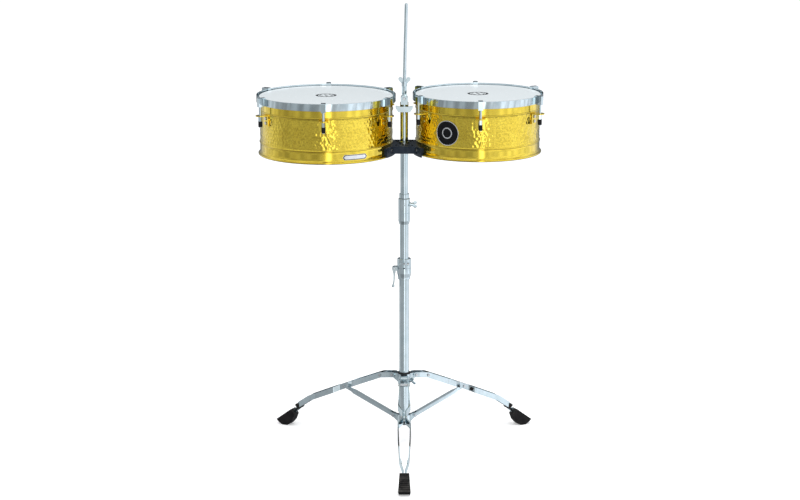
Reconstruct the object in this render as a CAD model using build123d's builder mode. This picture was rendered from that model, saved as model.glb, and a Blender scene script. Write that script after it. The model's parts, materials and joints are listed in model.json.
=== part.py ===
from build123d import *
import os
from math import asin, atan2, cos, degrees, hypot, radians, sin

os.makedirs("parts", exist_ok=True)

# A pair of timbales on a telescoping tripod. Millimetres, +Z up.
# The origin is on the floor under the post. +X is the small drum's side, -Y the player's.

# Clearances
fit_gap = 0.1  # a tube sliding in a tube, a screw in its hole
pivot_gap = 0.1  # a pivot bolt in its eye, on radius
open_pivot_gap = 0.25  # a leg's bolt in the collar's ear, on radius
side_gap = 0.4  # between the faces of a hinge, each side
rest_gap = 0.4  # between a moving piece and the one it stops against

# Drums
large_radius = 189.0
small_radius = 176.5
shell_depth = 165.0
shell_wall = 1.2
large_bottom = 879.0
small_bottom = 884.0
post_to_shell = 33.0
bead_radius = 2.4
low_bead_height = 36.0
high_bead_height = 128.0
rim_radius = 3.0
rim_flare = 3.0
rim_rise = 9.0

# Heads and hoops
head_film = 0.5
head_corner = 0.4
head_collar = 17.0
flesh_width = 4.6
flesh_height = 7.5
hoop_gap = 1.2
hoop_wall = 2.3
hoop_height = 20.0
hoop_above_head = 4.5
hoop_ledge = 2.2
hoop_edge_fillet = 0.9

# Lugs
lug_count = 6
lug_rod_offset = 19.5
rod_radius = 3.5
rod_drop = 80.0
claw_width = 13.0
claw_thick = 3.0
claw_drop = 22.0
claw_lip = 8.0
ear_width = 26.0
ear_thick = 3.0
ear_below_hoop = 45.5
plate_thick = 2.5
plate_height = 31.0
nut_radius = 5.6
nut_height = 14.0
cap_radius = 5.9
cap_height = 16.0
lug_screw_radius = 2.5
lug_screw_head = 4.4
lug_screw_spacing = 13.0

# Badge and plaque
badge_radius = 35.0
badge_thick = 1.6
badge_angle = 31.0
badge_height = 77.0
plaque_length = 75.0
plaque_height = 15.0
plaque_thick = 1.2
plaque_angle = 27.0
plaque_level = 18.0

# Mounting block between the drums
block_bottom = 886.0
block_height = 21.0
block_half_depth = 58.0
cradle_thick = 9.0
cradle_height = 26.0
cradle_bottom = 880.5
cradle_bore_room = 1.0
cradle_half_angle = 29.0
cradle_rim_room = 1.0
pocket_depth = 3.0
pocket_inset = 3.5
pocket_rib = 14.5
cradle_screw_angle = 20.0
block_screw_angle = 9.0
cradle_screw_radius = 2.5
block_screw_length = 8.0
block_bolt_radius = 3.0
block_bolt_place = 30.0
block_bolt_head = 5.5

# Telescoping post
lower_tube_radius = 14.3
middle_tube_radius = 12.7
upper_tube_radius = 11.1
tube_wall = 1.5
lower_tube_bottom = 69.0
lower_tube_top = 535.0
middle_tube_bottom = 250.0
middle_tube_top = 715.0
upper_tube_bottom = 480.0
cowbell_post_top = 999.0
end_plug_length = 20.0

# Lower clamp with its quick-release lever
lower_clamp_bottom = 507.0
lower_clamp_top = 541.0
lower_clamp_radius = 20.3
lower_clamp_foot_radius = 17.8
lower_ring_height = 28.0
lower_ring_radius = 20.0
ring_slot_width = 6.0
ring_screw_radius = 2.0
ring_screw_seat = 9.0
ring_screw_head = 3.6
ring_screw_head_height = 5.0
lever_pin_x = 28.5
lever_pin_drop = 2.0
lever_pin_radius = 2.0
lever_width = 8.0
lever_ear = 3.0
lever_eye_radius = 6.5
lever_length = 53.0
lever_ball_radius = 4.2
plunger_radius = 3.0
plunger_drop = 2.0

# Upper clamp
upper_clamp_bottom = 671.0
upper_clamp_top = 746.0
upper_clamp_radius = 16.75
upper_clamp_taper = 10.0
upper_bush_wall = 1.6
upper_ring_height = 14.0
upper_ring_radius = 14.25
wing_screw_level = 728.0
wing_shank_radius = 3.0
wing_hub_radius = 5.0
wing_half_thick = 1.6
clamp_wing = {"span": 30.0, "reach": 17.0, "ear": 5.0, "turn": 22.0}
collar_wing = {"span": 28.0, "reach": 15.0, "ear": 4.6, "turn": 35.0}
clamp_slit_level = 705.0

# Tripod: collar, hub, braces and legs
leg_azimuths = {"front": -90.0, "right": 30.0, "left": 150.0}
ear_radius = 34.0
collar_pivot_z = 215.0
hub_pivot_z = 90.0
leg_pivot_radius = 205.0
collar_bottom = 191.0
collar_height = 32.0
collar_outer_radius = 18.6
collar_bush_wall = 1.5
collar_flange = 3.5
collar_ear_half = 9.2
collar_screw_azimuth = -30.0
hub_bottom = 69.0
hub_height = 28.0
hub_radius = 19.5
brace_half_width = 6.8
brace_wall = 1.8
brace_depth = 10.0
brace_tip_half = 2.1
brace_end_radius = 6.6
strap_thick = 3.0
strap_depth = 16.0
pivot_bolt_radius = 2.5
pivot_head_radius = 4.5
pivot_head_height = 2.5
spacer_radius = 75.0
spacer_drop = 6.5

# The legs' line from the collar to the foot, as distance out and height
leg_line = [(74.6, 209.0), (205.0, 152.5), (250.0, 132.0), (321.5, 99.5), (360.0, 73.0)]
leg_line_fillet = 30.0
stem_line = [(350.0, 81.0), (377.0, 51.5), (399.0, 29.0)]
stem_depth = 10.0
# The straps' middles, as distance out and half spread
strap_bow = [(168.0, 16.5), (191.0, 4.0), (219.0, 4.0), (237.0, 17.5), (300.0, 16.2), (358.0, 12.7)]
strap_foot = [(380.0, 2.6), (398.0, 2.6)]
strap_fillet = 7.0

# Feet: side outline as distance out and height
foot_outline = [
    (392.0, 52.0), (441.0, 14.8), (433.5, 7.5), (422.0, 0.0), (404.0, 0.0),
    (398.0, 4.5), (386.0, 17.5), (378.0, 37.0),
]
foot_inner_half = 12.5
foot_outer_half = 17.5
foot_socket_gap = 0.1
foot_ribs = 8
rib_width = 2.2
rib_depth = 3.0
foot_band_center = (366.5, 65.5)
foot_band_slope = -43.0
foot_band_length = 7.0
foot_band_depth = 17.0
foot_band_half = 14.5

# Cowbell holder
holder_wing_outline = [
    (-25.0, 9.0), (-24.0, 2.0), (-17.0, -9.0), (17.0, -9.0),
    (24.0, 2.0), (25.0, 9.0), (12.0, 6.5), (-12.0, 6.5),
]
holder_wing_thick = 5.0
holder_screw_radius = 3.0
holder_screw_rise = 9.5
tilter_bottom = 999.0
tilter_body_height = 26.0
tilter_half_width = 12.0
tilter_pivot_z = 1036.0
tilter_cheek_radius = 10.0
tilter_slot_half = 4.7
neck_half_width = 6.8
neck_top = 1071.0
bell_rod_radius = 4.75
bell_rod_seat_radius = 4.2
bell_rod_bottom = 1056.0
bell_rod_top = 1306.0
bell_rod_lean = 1.4
collet_radius = 6.2
collet_height = 8.0
rod_nut_radius = 7.8
rod_nut_height = 12.0
rod_nut_span = 34.0
rod_nut_reach = 25.0
rod_nut_ear = 5.6

# Worked out from the sizes above
large_x = -(post_to_shell + large_radius)
small_x = post_to_shell + small_radius
block_top = block_bottom + block_height
lever_pin_z = lower_clamp_top - lever_pin_drop
leg_pivot_z = (collar_pivot_z + hub_pivot_z) / 2
brace_length = hypot(leg_pivot_radius - ear_radius, leg_pivot_z - hub_pivot_z)
brace_angle = degrees(atan2(leg_pivot_z - hub_pivot_z, leg_pivot_radius - ear_radius))
drums = {
    "large": {"x": large_x, "radius": large_radius, "bottom": large_bottom, "post_side": 0.0},
    "small": {"x": small_x, "radius": small_radius, "bottom": small_bottom, "post_side": 180.0},
}


def side_plane(azimuth):
    """Upright plane through the post: local x runs outwards, local y runs up."""
    a = radians(azimuth)
    return Plane(origin=(0, 0, 0), x_dir=(cos(a), sin(a), 0), z_dir=(sin(a), -cos(a), 0))


def top_plane(azimuth, height=0.0):
    """Level plane whose local x runs outwards at the azimuth."""
    a = radians(azimuth)
    return Plane(origin=(0, 0, height), x_dir=(cos(a), sin(a), 0), z_dir=(0, 0, 1))


def radial_plane(center_x, azimuth, radius, height):
    """Plane that faces outwards at a place on a drum's wall; local y runs up."""
    a = radians(azimuth)
    place = (center_x + radius * cos(a), radius * sin(a), height)
    return Plane(origin=place, x_dir=(-sin(a), cos(a), 0), z_dir=(cos(a), sin(a), 0))


def drum_side_plane(center_x, azimuth):
    """Upright plane through a drum's axis: local x is the distance from that axis."""
    a = radians(azimuth)
    return Plane(origin=(center_x, 0, 0), x_dir=(cos(a), sin(a), 0), z_dir=(sin(a), -cos(a), 0))


def drum_top_plane(center_x, azimuth, height):
    """Level plane centred on a drum, its local x at the azimuth."""
    a = radians(azimuth)
    return Plane(origin=(center_x, 0, height), x_dir=(cos(a), sin(a), 0), z_dir=(0, 0, 1))


def drum_axis(center_x):
    return Axis((center_x, 0, 0), (0, 0, 1))


def lug_azimuths():
    return [-90.0 + 360.0 / lug_count * i for i in range(lug_count)]


def save(part, name):
    part.label = name
    export_step(part, f"parts/{name}.step")


def ring_profile(inner, outer, low, high):
    """Rectangle of a ring's section, in the current sketch."""
    with Locations(((inner + outer) / 2, (low + high) / 2)):
        Rectangle(outer - inner, high - low)


# Each level in a drum, from its bottom
def shell_top(drum):
    return drum["bottom"] + shell_depth


def hoop_top(drum):
    return shell_top(drum) + head_film + hoop_above_head


def flesh_top(drum):
    return shell_top(drum) + head_film - head_collar + flesh_height


def ear_top(drum):
    return hoop_top(drum) - ear_below_hoop


def collar_outer(drum):
    return drum["radius"] + rest_gap + head_film


def hoop_inner(drum):
    return collar_outer(drum) + flesh_width + hoop_gap


def rod_center(drum):
    return drum["radius"] + lug_rod_offset


def drum_place(drum, azimuth):
    """Where a tuning rod stands, in plan."""
    a = radians(azimuth)
    return drum["x"] + rod_center(drum) * cos(a), rod_center(drum) * sin(a)


def lug_screw_levels(drum):
    plate_middle = ear_top(drum) - plate_height / 2 - ear_thick / 2
    return [plate_middle - lug_screw_spacing / 2, plate_middle + lug_screw_spacing / 2]


def cradle_level():
    return block_bottom + block_height / 2


def cradle_screw_azimuths(drum):
    return [drum["post_side"] - cradle_screw_angle, drum["post_side"] + cradle_screw_angle]


def block_screw_azimuths(drum):
    return [drum["post_side"] - block_screw_angle, drum["post_side"] + block_screw_angle]


def disc(plane, radius):
    """A round outline on a plane, to extrude as a pin or a hole."""
    with BuildSketch(plane) as outline:
        Circle(radius)
    return outline.sketch


def ear_outline(span, level, root_radius, ear_radius, plane):
    """Two round ears joined to a hub: a wing nut's outline. Local y runs along the screw."""
    with BuildSketch(plane) as outline:
        for side in (-1, 1):
            root = Edge.make_circle(root_radius, Plane((0, root_radius, 0)))
            tip = Edge.make_circle(ear_radius, Plane((side * (span / 2 - ear_radius), level, 0)))
            make_hull([root, tip])
    return outline.sketch


# ---- Drum shells: spun wall with two pressed beads and a flared, rolled bottom rim ----
for name, drum in drums.items():
    outer = drum["radius"]
    inner = outer - shell_wall
    bottom = drum["bottom"]
    with BuildPart() as shell:
        with BuildSketch(drum_side_plane(drum["x"], 0)):
            ring_profile(inner, outer, bottom + rim_rise, shell_top(drum))
            with BuildLine():
                Polyline(
                    (inner, bottom + rim_rise),
                    (outer, bottom + rim_rise),
                    (outer + rim_flare, bottom + rim_radius),
                    (outer + rim_flare - shell_wall, bottom + rim_radius),
                    close=True,
                )
            make_face()
            with Locations((outer + rim_flare - shell_wall / 2, bottom + rim_radius)):
                Circle(rim_radius)
            bead_places = [
                (outer - shell_wall / 2, bottom + low_bead_height),
                (outer - shell_wall / 2, bottom + high_bead_height),
            ]
            with Locations(bead_places):
                Circle(bead_radius)
            with Locations(bead_places):
                Circle(bead_radius - shell_wall, mode=Mode.SUBTRACT)
            with Locations((inner - bead_radius, bottom + shell_depth / 2)):
                Rectangle(2 * bead_radius, shell_depth - 2 * rim_rise, mode=Mode.SUBTRACT)
        revolve(axis=drum_axis(drum["x"]))
        for azimuth in lug_azimuths():
            for level in lug_screw_levels(drum):
                plane = radial_plane(drum["x"], azimuth, outer + shell_wall, level)
                hole = disc(plane, lug_screw_radius + fit_gap)
                extrude(hole, amount=-3 * shell_wall, mode=Mode.SUBTRACT)
        for azimuth in cradle_screw_azimuths(drum) + block_screw_azimuths(drum):
            plane = radial_plane(drum["x"], azimuth, outer + shell_wall, cradle_level())
            hole = disc(plane, cradle_screw_radius + fit_gap)
            extrude(hole, amount=-3 * shell_wall, mode=Mode.SUBTRACT)
    save(shell.part, f"{name}_shell")

# ---- Heads: film over the shell's edge, with a collar down to the flesh hoop ----
for name, drum in drums.items():
    film_inner = drum["radius"] + rest_gap
    top = shell_top(drum)
    with BuildPart() as head:
        with BuildSketch(drum_side_plane(drum["x"], 0)):
            with BuildLine():
                Polyline(
                    (0, top),
                    (film_inner, top),
                    (film_inner, top + head_film - head_collar),
                    (film_inner + head_film, top + head_film - head_collar),
                    (film_inner + head_film, top + head_film),
                    (0, top + head_film),
                    close=True,
                )
            make_face()
        revolve(axis=drum_axis(drum["x"]))
        fillet(head.edges().filter_by(GeomType.CIRCLE).group_by(Axis.Z)[-1], head_corner)
    save(head.part, f"{name}_head")

# ---- Flesh hoops: the rings that the heads are tucked into ----
for name, drum in drums.items():
    with BuildPart() as flesh_hoop:
        with BuildSketch(drum_side_plane(drum["x"], 0)):
            ring_profile(
                collar_outer(drum),
                collar_outer(drum) + flesh_width,
                flesh_top(drum) - flesh_height,
                flesh_top(drum),
            )
        revolve(axis=drum_axis(drum["x"]))
        lowest = flesh_hoop.edges().filter_by(GeomType.CIRCLE).group_by(Axis.Z)[0]
        fillet(lowest.sort_by(SortBy.RADIUS)[-1], 1.5)
    save(flesh_hoop.part, f"{name}_flesh_hoop")

# ---- Counter-hoops: flat bands whose inner ledge presses on the flesh hoop ----
for name, drum in drums.items():
    band = hoop_inner(drum)
    with BuildPart() as counter_hoop:
        with BuildSketch(drum_side_plane(drum["x"], 0)):
            ring_profile(band, band + hoop_wall, hoop_top(drum) - hoop_height, hoop_top(drum))
            ring_profile(
                collar_outer(drum) + hoop_gap,
                band,
                flesh_top(drum),
                flesh_top(drum) + hoop_ledge,
            )
        revolve(axis=drum_axis(drum["x"]))
        fillet(counter_hoop.edges().filter_by(GeomType.CIRCLE).group_by(Axis.Z)[-1], hoop_edge_fillet)
    save(counter_hoop.part, f"{name}_counter_hoop")


# ---- Lug brackets: a curved plate on the shell with an ear for the tuning rod ----
with BuildPart() as lug_brackets:
    for drum in drums.values():
        outer = drum["radius"]
        top = ear_top(drum)
        half_turn = degrees(asin(ear_width / 2 / outer))
        for azimuth in lug_azimuths():
            with BuildSketch(drum_side_plane(drum["x"], azimuth - half_turn)):
                ring_profile(outer, outer + plate_thick, top - plate_height, top)
            revolve(axis=drum_axis(drum["x"]), revolution_arc=2 * half_turn)
            with BuildSketch(drum_top_plane(drum["x"], azimuth, top)):
                with Locations(((outer + rod_center(drum)) / 2, 0)):
                    Rectangle(rod_center(drum) - outer, ear_width)
                with Locations((rod_center(drum), 0)):
                    Circle(ear_width / 2)
                Circle(outer, mode=Mode.SUBTRACT)
                with Locations((rod_center(drum), 0)):
                    Circle(rod_radius + fit_gap, mode=Mode.SUBTRACT)
            extrude(amount=-ear_thick)
            for level in lug_screw_levels(drum):
                plane = radial_plane(drum["x"], azimuth, outer + plate_thick + 1, level)
                hole = disc(plane, lug_screw_radius + fit_gap)
                extrude(hole, amount=-plate_thick - 2, mode=Mode.SUBTRACT)
save(lug_brackets.part, "lug_brackets")

# ---- Lug screws: a head outside, a shank through plate and shell, a nut inside ----
with BuildPart() as lug_screws:
    for drum in drums.values():
        outer = drum["radius"]
        for azimuth in lug_azimuths():
            for level in lug_screw_levels(drum):
                head_face = outer + plate_thick + rest_gap / 2
                plane = radial_plane(drum["x"], azimuth, head_face, level)
                extrude(disc(plane, lug_screw_head), amount=2)
                shank = head_face - outer + shell_wall + rest_gap
                extrude(disc(plane, lug_screw_radius), amount=-shank)
                with BuildSketch(plane.offset(-shank)):
                    RegularPolygon(lug_screw_head, 6)
                extrude(amount=-3)
save(lug_screws.part, "lug_screws")

# ---- Tuning rods: a claw over the counter-hoop with the threaded rod below it ----
with BuildPart() as tuning_rods:
    for drum in drums.values():
        lip = hoop_inner(drum) - rest_gap / 2
        back = rod_center(drum) + rod_radius + 3
        top = hoop_top(drum) + rest_gap / 2
        front = hoop_inner(drum) + hoop_wall + rest_gap
        for azimuth in lug_azimuths():
            with BuildSketch(drum_side_plane(drum["x"], azimuth)) as claw:
                with BuildLine():
                    Polyline(
                        (lip - claw_thick, top + claw_thick),
                        (back, top + claw_thick),
                        (back, top - claw_drop),
                        (front, top - claw_drop),
                        (front, top),
                        (lip, top),
                        (lip, top - claw_lip),
                        (lip - claw_thick, top - claw_lip),
                        close=True,
                    )
                make_face()
                fillet(claw.vertices().group_by(Axis.Y)[-1], claw_thick - 0.5)
            extrude(amount=claw_width / 2, both=True)
            plane = Plane((*drum_place(drum, azimuth), top - claw_drop))
            extrude(disc(plane, rod_radius), amount=-(rod_drop - claw_drop))
save(tuning_rods.part, "tuning_rods")

# ---- Tension nuts under the ears, and the black caps on the rods' ends ----
with BuildPart() as tension_nuts:
    for drum in drums.values():
        for azimuth in lug_azimuths():
            plane = Plane((*drum_place(drum, azimuth), ear_top(drum) - ear_thick))
            with BuildSketch(plane):
                RegularPolygon(nut_radius, 6)
                Circle(rod_radius + fit_gap, mode=Mode.SUBTRACT)
            extrude(amount=-nut_height)
save(tension_nuts.part, "tension_nuts")

with BuildPart() as nut_caps:
    for drum in drums.values():
        rod_end = hoop_top(drum) - rod_drop
        low = ear_top(drum) - ear_thick - nut_height
        for azimuth in lug_azimuths():
            center = drum_place(drum, azimuth)
            with BuildSketch(drum_side_plane(center[0], 0).offset(-center[1])):
                with BuildLine():
                    Polyline((0, low), (cap_radius, low), (cap_radius, low - cap_height + 2))
                    RadiusArc(
                        (cap_radius, low - cap_height + 2),
                        (cap_radius - 2, low - cap_height),
                        2,
                    )
                    Polyline((cap_radius - 2, low - cap_height), (0, low - cap_height), (0, low))
                make_face()
            revolve(axis=Axis((*center, 0), (0, 0, 1)))
            bore = disc(Plane((*center, low)), rod_radius + fit_gap)
            extrude(bore, amount=-(low - rod_end + 1), mode=Mode.SUBTRACT)
save(nut_caps.part, "nut_caps")

# ---- Round badge on the small drum and long plaque on the large one ----
badge_azimuth = -90 - badge_angle
badge_level = small_bottom + badge_height
with BuildPart() as small_badge:
    with BuildSketch(drum_side_plane(small_x, badge_azimuth - 15)):
        low = badge_level - badge_radius
        ring_profile(small_radius, small_radius + badge_thick, low, low + 2 * badge_radius)
    revolve(axis=drum_axis(small_x), revolution_arc=30)
    face = disc(radial_plane(small_x, badge_azimuth, 0, badge_level), badge_radius)
    extrude(face, amount=2 * small_radius, mode=Mode.INTERSECT)
save(small_badge.part, "small_badge")

plaque_azimuth = -90 + plaque_angle
plaque_z = large_bottom + plaque_level
with BuildPart() as large_plaque:
    with BuildSketch(drum_side_plane(large_x, plaque_azimuth - 15)):
        low = plaque_z - plaque_height / 2
        ring_profile(large_radius, large_radius + plaque_thick, low, low + plaque_height)
    revolve(axis=drum_axis(large_x), revolution_arc=30)
    with BuildSketch(radial_plane(large_x, plaque_azimuth, 0, plaque_z)):
        half = plaque_length / 2
        rise = plaque_height / 2
        with BuildLine():
            Polyline(
                (-half, 0), (-half + 5, rise), (half - 5, rise), (half, 0),
                (half - 5, -rise), (-half + 5, -rise), close=True,
            )
        make_face()
    extrude(amount=2 * large_radius, mode=Mode.INTERSECT)
save(large_plaque.part, "large_plaque")

# ---- Cradles: curved plates that hug the shells, relieved for the rolled rims ----
with BuildPart() as drum_cradles:
    for drum in drums.values():
        outer = drum["radius"]
        low = cradle_bottom
        rim_room = drum["bottom"] + rim_rise + cradle_rim_room
        with BuildSketch(drum_side_plane(drum["x"], drum["post_side"] - cradle_half_angle)):
            ring_profile(outer, outer + cradle_thick, low, low + cradle_height)
            inner = outer + rim_flare + rim_radius
            with BuildLine():
                Polyline(
                    (outer - 1, rim_room), (outer, rim_room), (inner, rim_room - 6),
                    (inner, low - 1), (outer - 1, low - 1), close=True,
                )
            make_face(mode=Mode.SUBTRACT)
        revolve(axis=drum_axis(drum["x"]), revolution_arc=2 * cradle_half_angle)
        for azimuth in cradle_screw_azimuths(drum) + block_screw_azimuths(drum):
            plane = radial_plane(drum["x"], azimuth, outer - 1, cradle_level())
            hole = disc(plane, cradle_screw_radius + fit_gap)
            extrude(hole, amount=cradle_thick + 2, mode=Mode.SUBTRACT)
save(drum_cradles.part, "drum_cradles")

# ---- Mounting block: cast bridge between the cradles, bored for the post ----
with BuildPart() as mount_block:
    with BuildSketch(Plane.XY.offset(block_bottom)):
        Rectangle(2 * (post_to_shell + cradle_thick), 2 * block_half_depth)
        for drum in drums.values():
            with Locations((drum["x"], 0)):
                Circle(drum["radius"] + cradle_thick, mode=Mode.SUBTRACT)
    extrude(amount=block_height)
    with BuildSketch(Plane.XY.offset(block_top)) as pockets:
        Rectangle(2 * (post_to_shell + cradle_thick), 2 * (block_half_depth - pocket_inset - 6))
        for drum in drums.values():
            with Locations((drum["x"], 0)):
                Circle(drum["radius"] + cradle_thick + pocket_inset, mode=Mode.SUBTRACT)
        Rectangle(2 * pocket_rib, 2 * block_half_depth, mode=Mode.SUBTRACT)
        fillet(pockets.vertices(), 2)
    extrude(amount=-pocket_depth, mode=Mode.SUBTRACT)
    extrude(disc(Plane.XY.offset(block_bottom), upper_tube_radius), amount=block_height, mode=Mode.SUBTRACT)
    for side in (-1, 1):
        bolt_plane = Plane((0, side * block_bolt_place, block_bottom))
        hole = disc(bolt_plane, block_bolt_radius + fit_gap)
        extrude(hole, amount=block_height, mode=Mode.SUBTRACT)
    for drum in drums.values():
        for azimuth in block_screw_azimuths(drum):
            plane = radial_plane(drum["x"], azimuth, drum["radius"], cradle_level())
            hole = disc(plane, cradle_screw_radius + fit_gap)
            extrude(hole, amount=cradle_thick + block_screw_length + 1, mode=Mode.SUBTRACT)
save(mount_block.part, "mount_block")

# ---- Screws that hold the drums: two into the block, two through the cradle, each drum ----
with BuildPart() as cradle_screws:
    for drum in drums.values():
        inner = drum["radius"] - shell_wall - rest_gap / 2
        for azimuth in block_screw_azimuths(drum):
            plane = radial_plane(drum["x"], azimuth, inner, cradle_level())
            extrude(disc(plane, cradle_screw_radius + 2.5), amount=-3)
            length = shell_wall + cradle_thick + block_screw_length
            extrude(disc(plane, cradle_screw_radius), amount=length)
        for azimuth in cradle_screw_azimuths(drum):
            plane = radial_plane(drum["x"], azimuth, inner, cradle_level())
            extrude(disc(plane, cradle_screw_radius + 2.5), amount=-3)
            length = shell_wall + cradle_thick + rest_gap
            extrude(disc(plane, cradle_screw_radius), amount=length)
            extrude(disc(plane.offset(length), cradle_screw_radius + 2.2), amount=3)
save(cradle_screws.part, "cradle_screws")

with BuildPart() as block_bolts:
    for side in (-1, 1):
        top_place = Plane((0, side * block_bolt_place, block_top + rest_gap / 2))
        extrude(disc(top_place, block_bolt_head), amount=5)
        extrude(disc(top_place, block_bolt_radius), amount=-block_height - rest_gap)
        with BuildSketch(top_place.offset(-block_height - rest_gap)):
            RegularPolygon(block_bolt_head, 6)
        extrude(amount=-4)
save(block_bolts.part, "block_bolts")


# ---- Telescoping tubes ----
def tube(name, radius, low, high):
    with BuildPart() as part:
        with BuildSketch(Plane.XY.offset(low)):
            Circle(radius)
            Circle(radius - tube_wall, mode=Mode.SUBTRACT)
        extrude(amount=high - low)
        chamfer(part.edges().filter_by(GeomType.CIRCLE).sort_by(SortBy.RADIUS)[-2:], 0.4)
    save(part.part, name)


tube("lower_tube", lower_tube_radius, lower_tube_bottom, lower_tube_top)
tube("middle_tube", middle_tube_radius, middle_tube_bottom, middle_tube_top)
block_middle = block_bottom + block_height / 2
tube("upper_tube", upper_tube_radius, upper_tube_bottom, block_middle)
tube("cowbell_post", upper_tube_radius, block_middle, cowbell_post_top)

with BuildPart() as tube_end_plug:
    with BuildSketch(Plane.XY.offset(lower_tube_bottom)):
        Circle(lower_tube_radius - tube_wall - fit_gap)
    extrude(amount=end_plug_length)
    with BuildSketch(Plane.XY.offset(lower_tube_bottom)):
        Circle(lower_tube_radius)
    extrude(amount=-3)
    fillet(tube_end_plug.edges().filter_by(GeomType.CIRCLE).sort_by(Axis.Z)[0], 1.5)
save(tube_end_plug.part, "tube_end_plug")

# ---- Lower clamp: cast body, nylon bush, cam lever with its pin and plunger ----
bush_radius = (lower_tube_radius + lower_clamp_radius) / 2
with BuildPart() as lower_clamp:
    with BuildSketch(side_plane(0)):
        with BuildLine():
            Polyline(
                (0, lower_clamp_bottom),
                (lower_clamp_foot_radius, lower_clamp_bottom),
                (lower_clamp_foot_radius, lower_clamp_bottom + 6),
                (lower_clamp_radius, lower_clamp_bottom + 20),
                (lower_clamp_radius, lower_clamp_top),
                (0, lower_clamp_top),
                close=True,
            )
        make_face()
    revolve(axis=Axis.Z)
    fillet(lower_clamp.edges().filter_by(GeomType.CIRCLE).group_by(Axis.Z)[0], 1.2)
    with BuildSketch(side_plane(180)):
        with Locations((lever_pin_x, lever_pin_z)):
            Circle(lever_eye_radius)
        with Locations(((lever_pin_x + lower_clamp_foot_radius) / 2, lever_pin_z)):
            Rectangle(lever_pin_x - lower_clamp_foot_radius, 2 * lever_eye_radius)
    extrude(amount=lever_width / 2 + lever_ear, both=True)
    with BuildSketch(side_plane(180)):
        with Locations((lever_pin_x, lever_pin_z)):
            Rectangle(2 * (lever_pin_x - lower_clamp_radius), 4 * lever_eye_radius)
    extrude(amount=lever_width / 2 + side_gap, both=True, mode=Mode.SUBTRACT)
    pin_axis = Plane((-lever_pin_x, 0, lever_pin_z), z_dir=(0, 1, 0))
    extrude(disc(pin_axis, lever_pin_radius), amount=lower_clamp_radius, both=True, mode=Mode.SUBTRACT)
    clamp_bore = disc(Plane.XY.offset(lower_clamp_bottom), lower_tube_radius)
    extrude(clamp_bore, amount=lower_clamp_top, mode=Mode.SUBTRACT)
    bush_seat = disc(Plane.XY.offset(lower_tube_top), bush_radius)
    extrude(bush_seat, amount=lower_clamp_top, mode=Mode.SUBTRACT)
    plunger_axis = Plane((0, 0, lever_pin_z - plunger_drop), z_dir=(-1, 0, 0))
    hole = disc(plunger_axis, plunger_radius + fit_gap)
    extrude(hole, amount=lever_pin_x, mode=Mode.SUBTRACT)
    ring_room = disc(Plane.XY.offset(lower_clamp_top), lower_ring_radius + rest_gap)
    extrude(ring_room, amount=lever_eye_radius, mode=Mode.SUBTRACT)
save(lower_clamp.part, "lower_clamp")

with BuildPart() as lower_clamp_bush:
    with BuildSketch(Plane.XY.offset(lower_tube_top)):
        Circle(bush_radius)
        Circle(middle_tube_radius + fit_gap, mode=Mode.SUBTRACT)
    extrude(amount=lower_clamp_top - lower_tube_top)
save(lower_clamp_bush.part, "lower_clamp_bush")

with BuildPart() as clamp_plunger:
    tip = lever_pin_x - lever_eye_radius - rest_gap
    start = bush_radius + fit_gap
    extrude(disc(plunger_axis.offset(start), plunger_radius), amount=tip - start)
save(clamp_plunger.part, "clamp_plunger")

with BuildPart() as lever_pin:
    half = lever_width / 2 + lever_ear
    extrude(disc(pin_axis, lever_pin_radius - 0.02), amount=half + 0.5, both=True)
    for side in (-1, 1):
        head_plane = Plane((-lever_pin_x, side * (half + 0.5), lever_pin_z), z_dir=(0, side, 0))
        extrude(disc(head_plane, lever_pin_radius + 0.8), amount=0.8)
save(lever_pin.part, "lever_pin")

lever_tip = (lever_pin_x + 3.5, lever_pin_z - lever_length)
with BuildPart() as quick_release_lever:
    with BuildSketch(side_plane(180)):
        with Locations((lever_pin_x, lever_pin_z)):
            Circle(lever_eye_radius)
        with BuildLine():
            Polyline(
                (lever_pin_x - lever_eye_radius + 1.5, lever_pin_z - 3),
                (lever_pin_x - 2.5, lever_pin_z - 18),
                (lever_pin_x - 1.0, lever_pin_z - 38),
                (lever_tip[0] - 2.2, lever_tip[1]),
                (lever_tip[0] + 2.2, lever_tip[1]),
                (lever_pin_x + 3.0, lever_pin_z - 38),
                (lever_pin_x + 2.5, lever_pin_z - 18),
                (lever_pin_x + lever_eye_radius - 0.5, lever_pin_z - 3),
                close=True,
            )
        make_face()
    extrude(amount=lever_width / 2, both=True)
    fillet(quick_release_lever.edges().filter_by(Axis.Y).group_by(Axis.Z)[0], 1.5)
    with Locations((-lever_tip[0], 0, lever_tip[1])):
        Sphere(lever_ball_radius)
    bore = disc(pin_axis, lever_pin_radius + 0.05)
    extrude(bore, amount=lever_width, both=True, mode=Mode.SUBTRACT)
save(quick_release_lever.part, "quick_release_lever")

# ---- Lock ring above the lower clamp: split at the front, with a pinch screw ----
ring_low = lower_clamp_top + rest_gap
ring_screw_y = -(middle_tube_radius + lower_ring_radius) / 2
ring_screw_z = ring_low + lower_ring_height / 2
with BuildPart() as lower_lock_ring:
    with BuildSketch(Plane.XY.offset(ring_low)):
        Circle(lower_ring_radius)
        Circle(middle_tube_radius + fit_gap, mode=Mode.SUBTRACT)
    extrude(amount=lower_ring_height)
    highest = lower_lock_ring.edges().filter_by(GeomType.CIRCLE).group_by(Axis.Z)[-1]
    fillet(highest.sort_by(SortBy.RADIUS)[-1], 3)
    with BuildSketch(Plane.XY.offset(ring_low)):
        with Locations((0, -lower_ring_radius)):
            Rectangle(ring_slot_width, 2 * lower_ring_radius)
    extrude(amount=lower_ring_height, mode=Mode.SUBTRACT)
    screw_axis = Plane((0, ring_screw_y, ring_screw_z), z_dir=(1, 0, 0))
    hole = disc(screw_axis, ring_screw_radius + fit_gap)
    extrude(hole, amount=lower_ring_radius, both=True, mode=Mode.SUBTRACT)
    seat = disc(screw_axis.offset(ring_screw_seat), ring_screw_head + 0.4)
    extrude(seat, amount=lower_ring_radius, mode=Mode.SUBTRACT)
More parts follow.
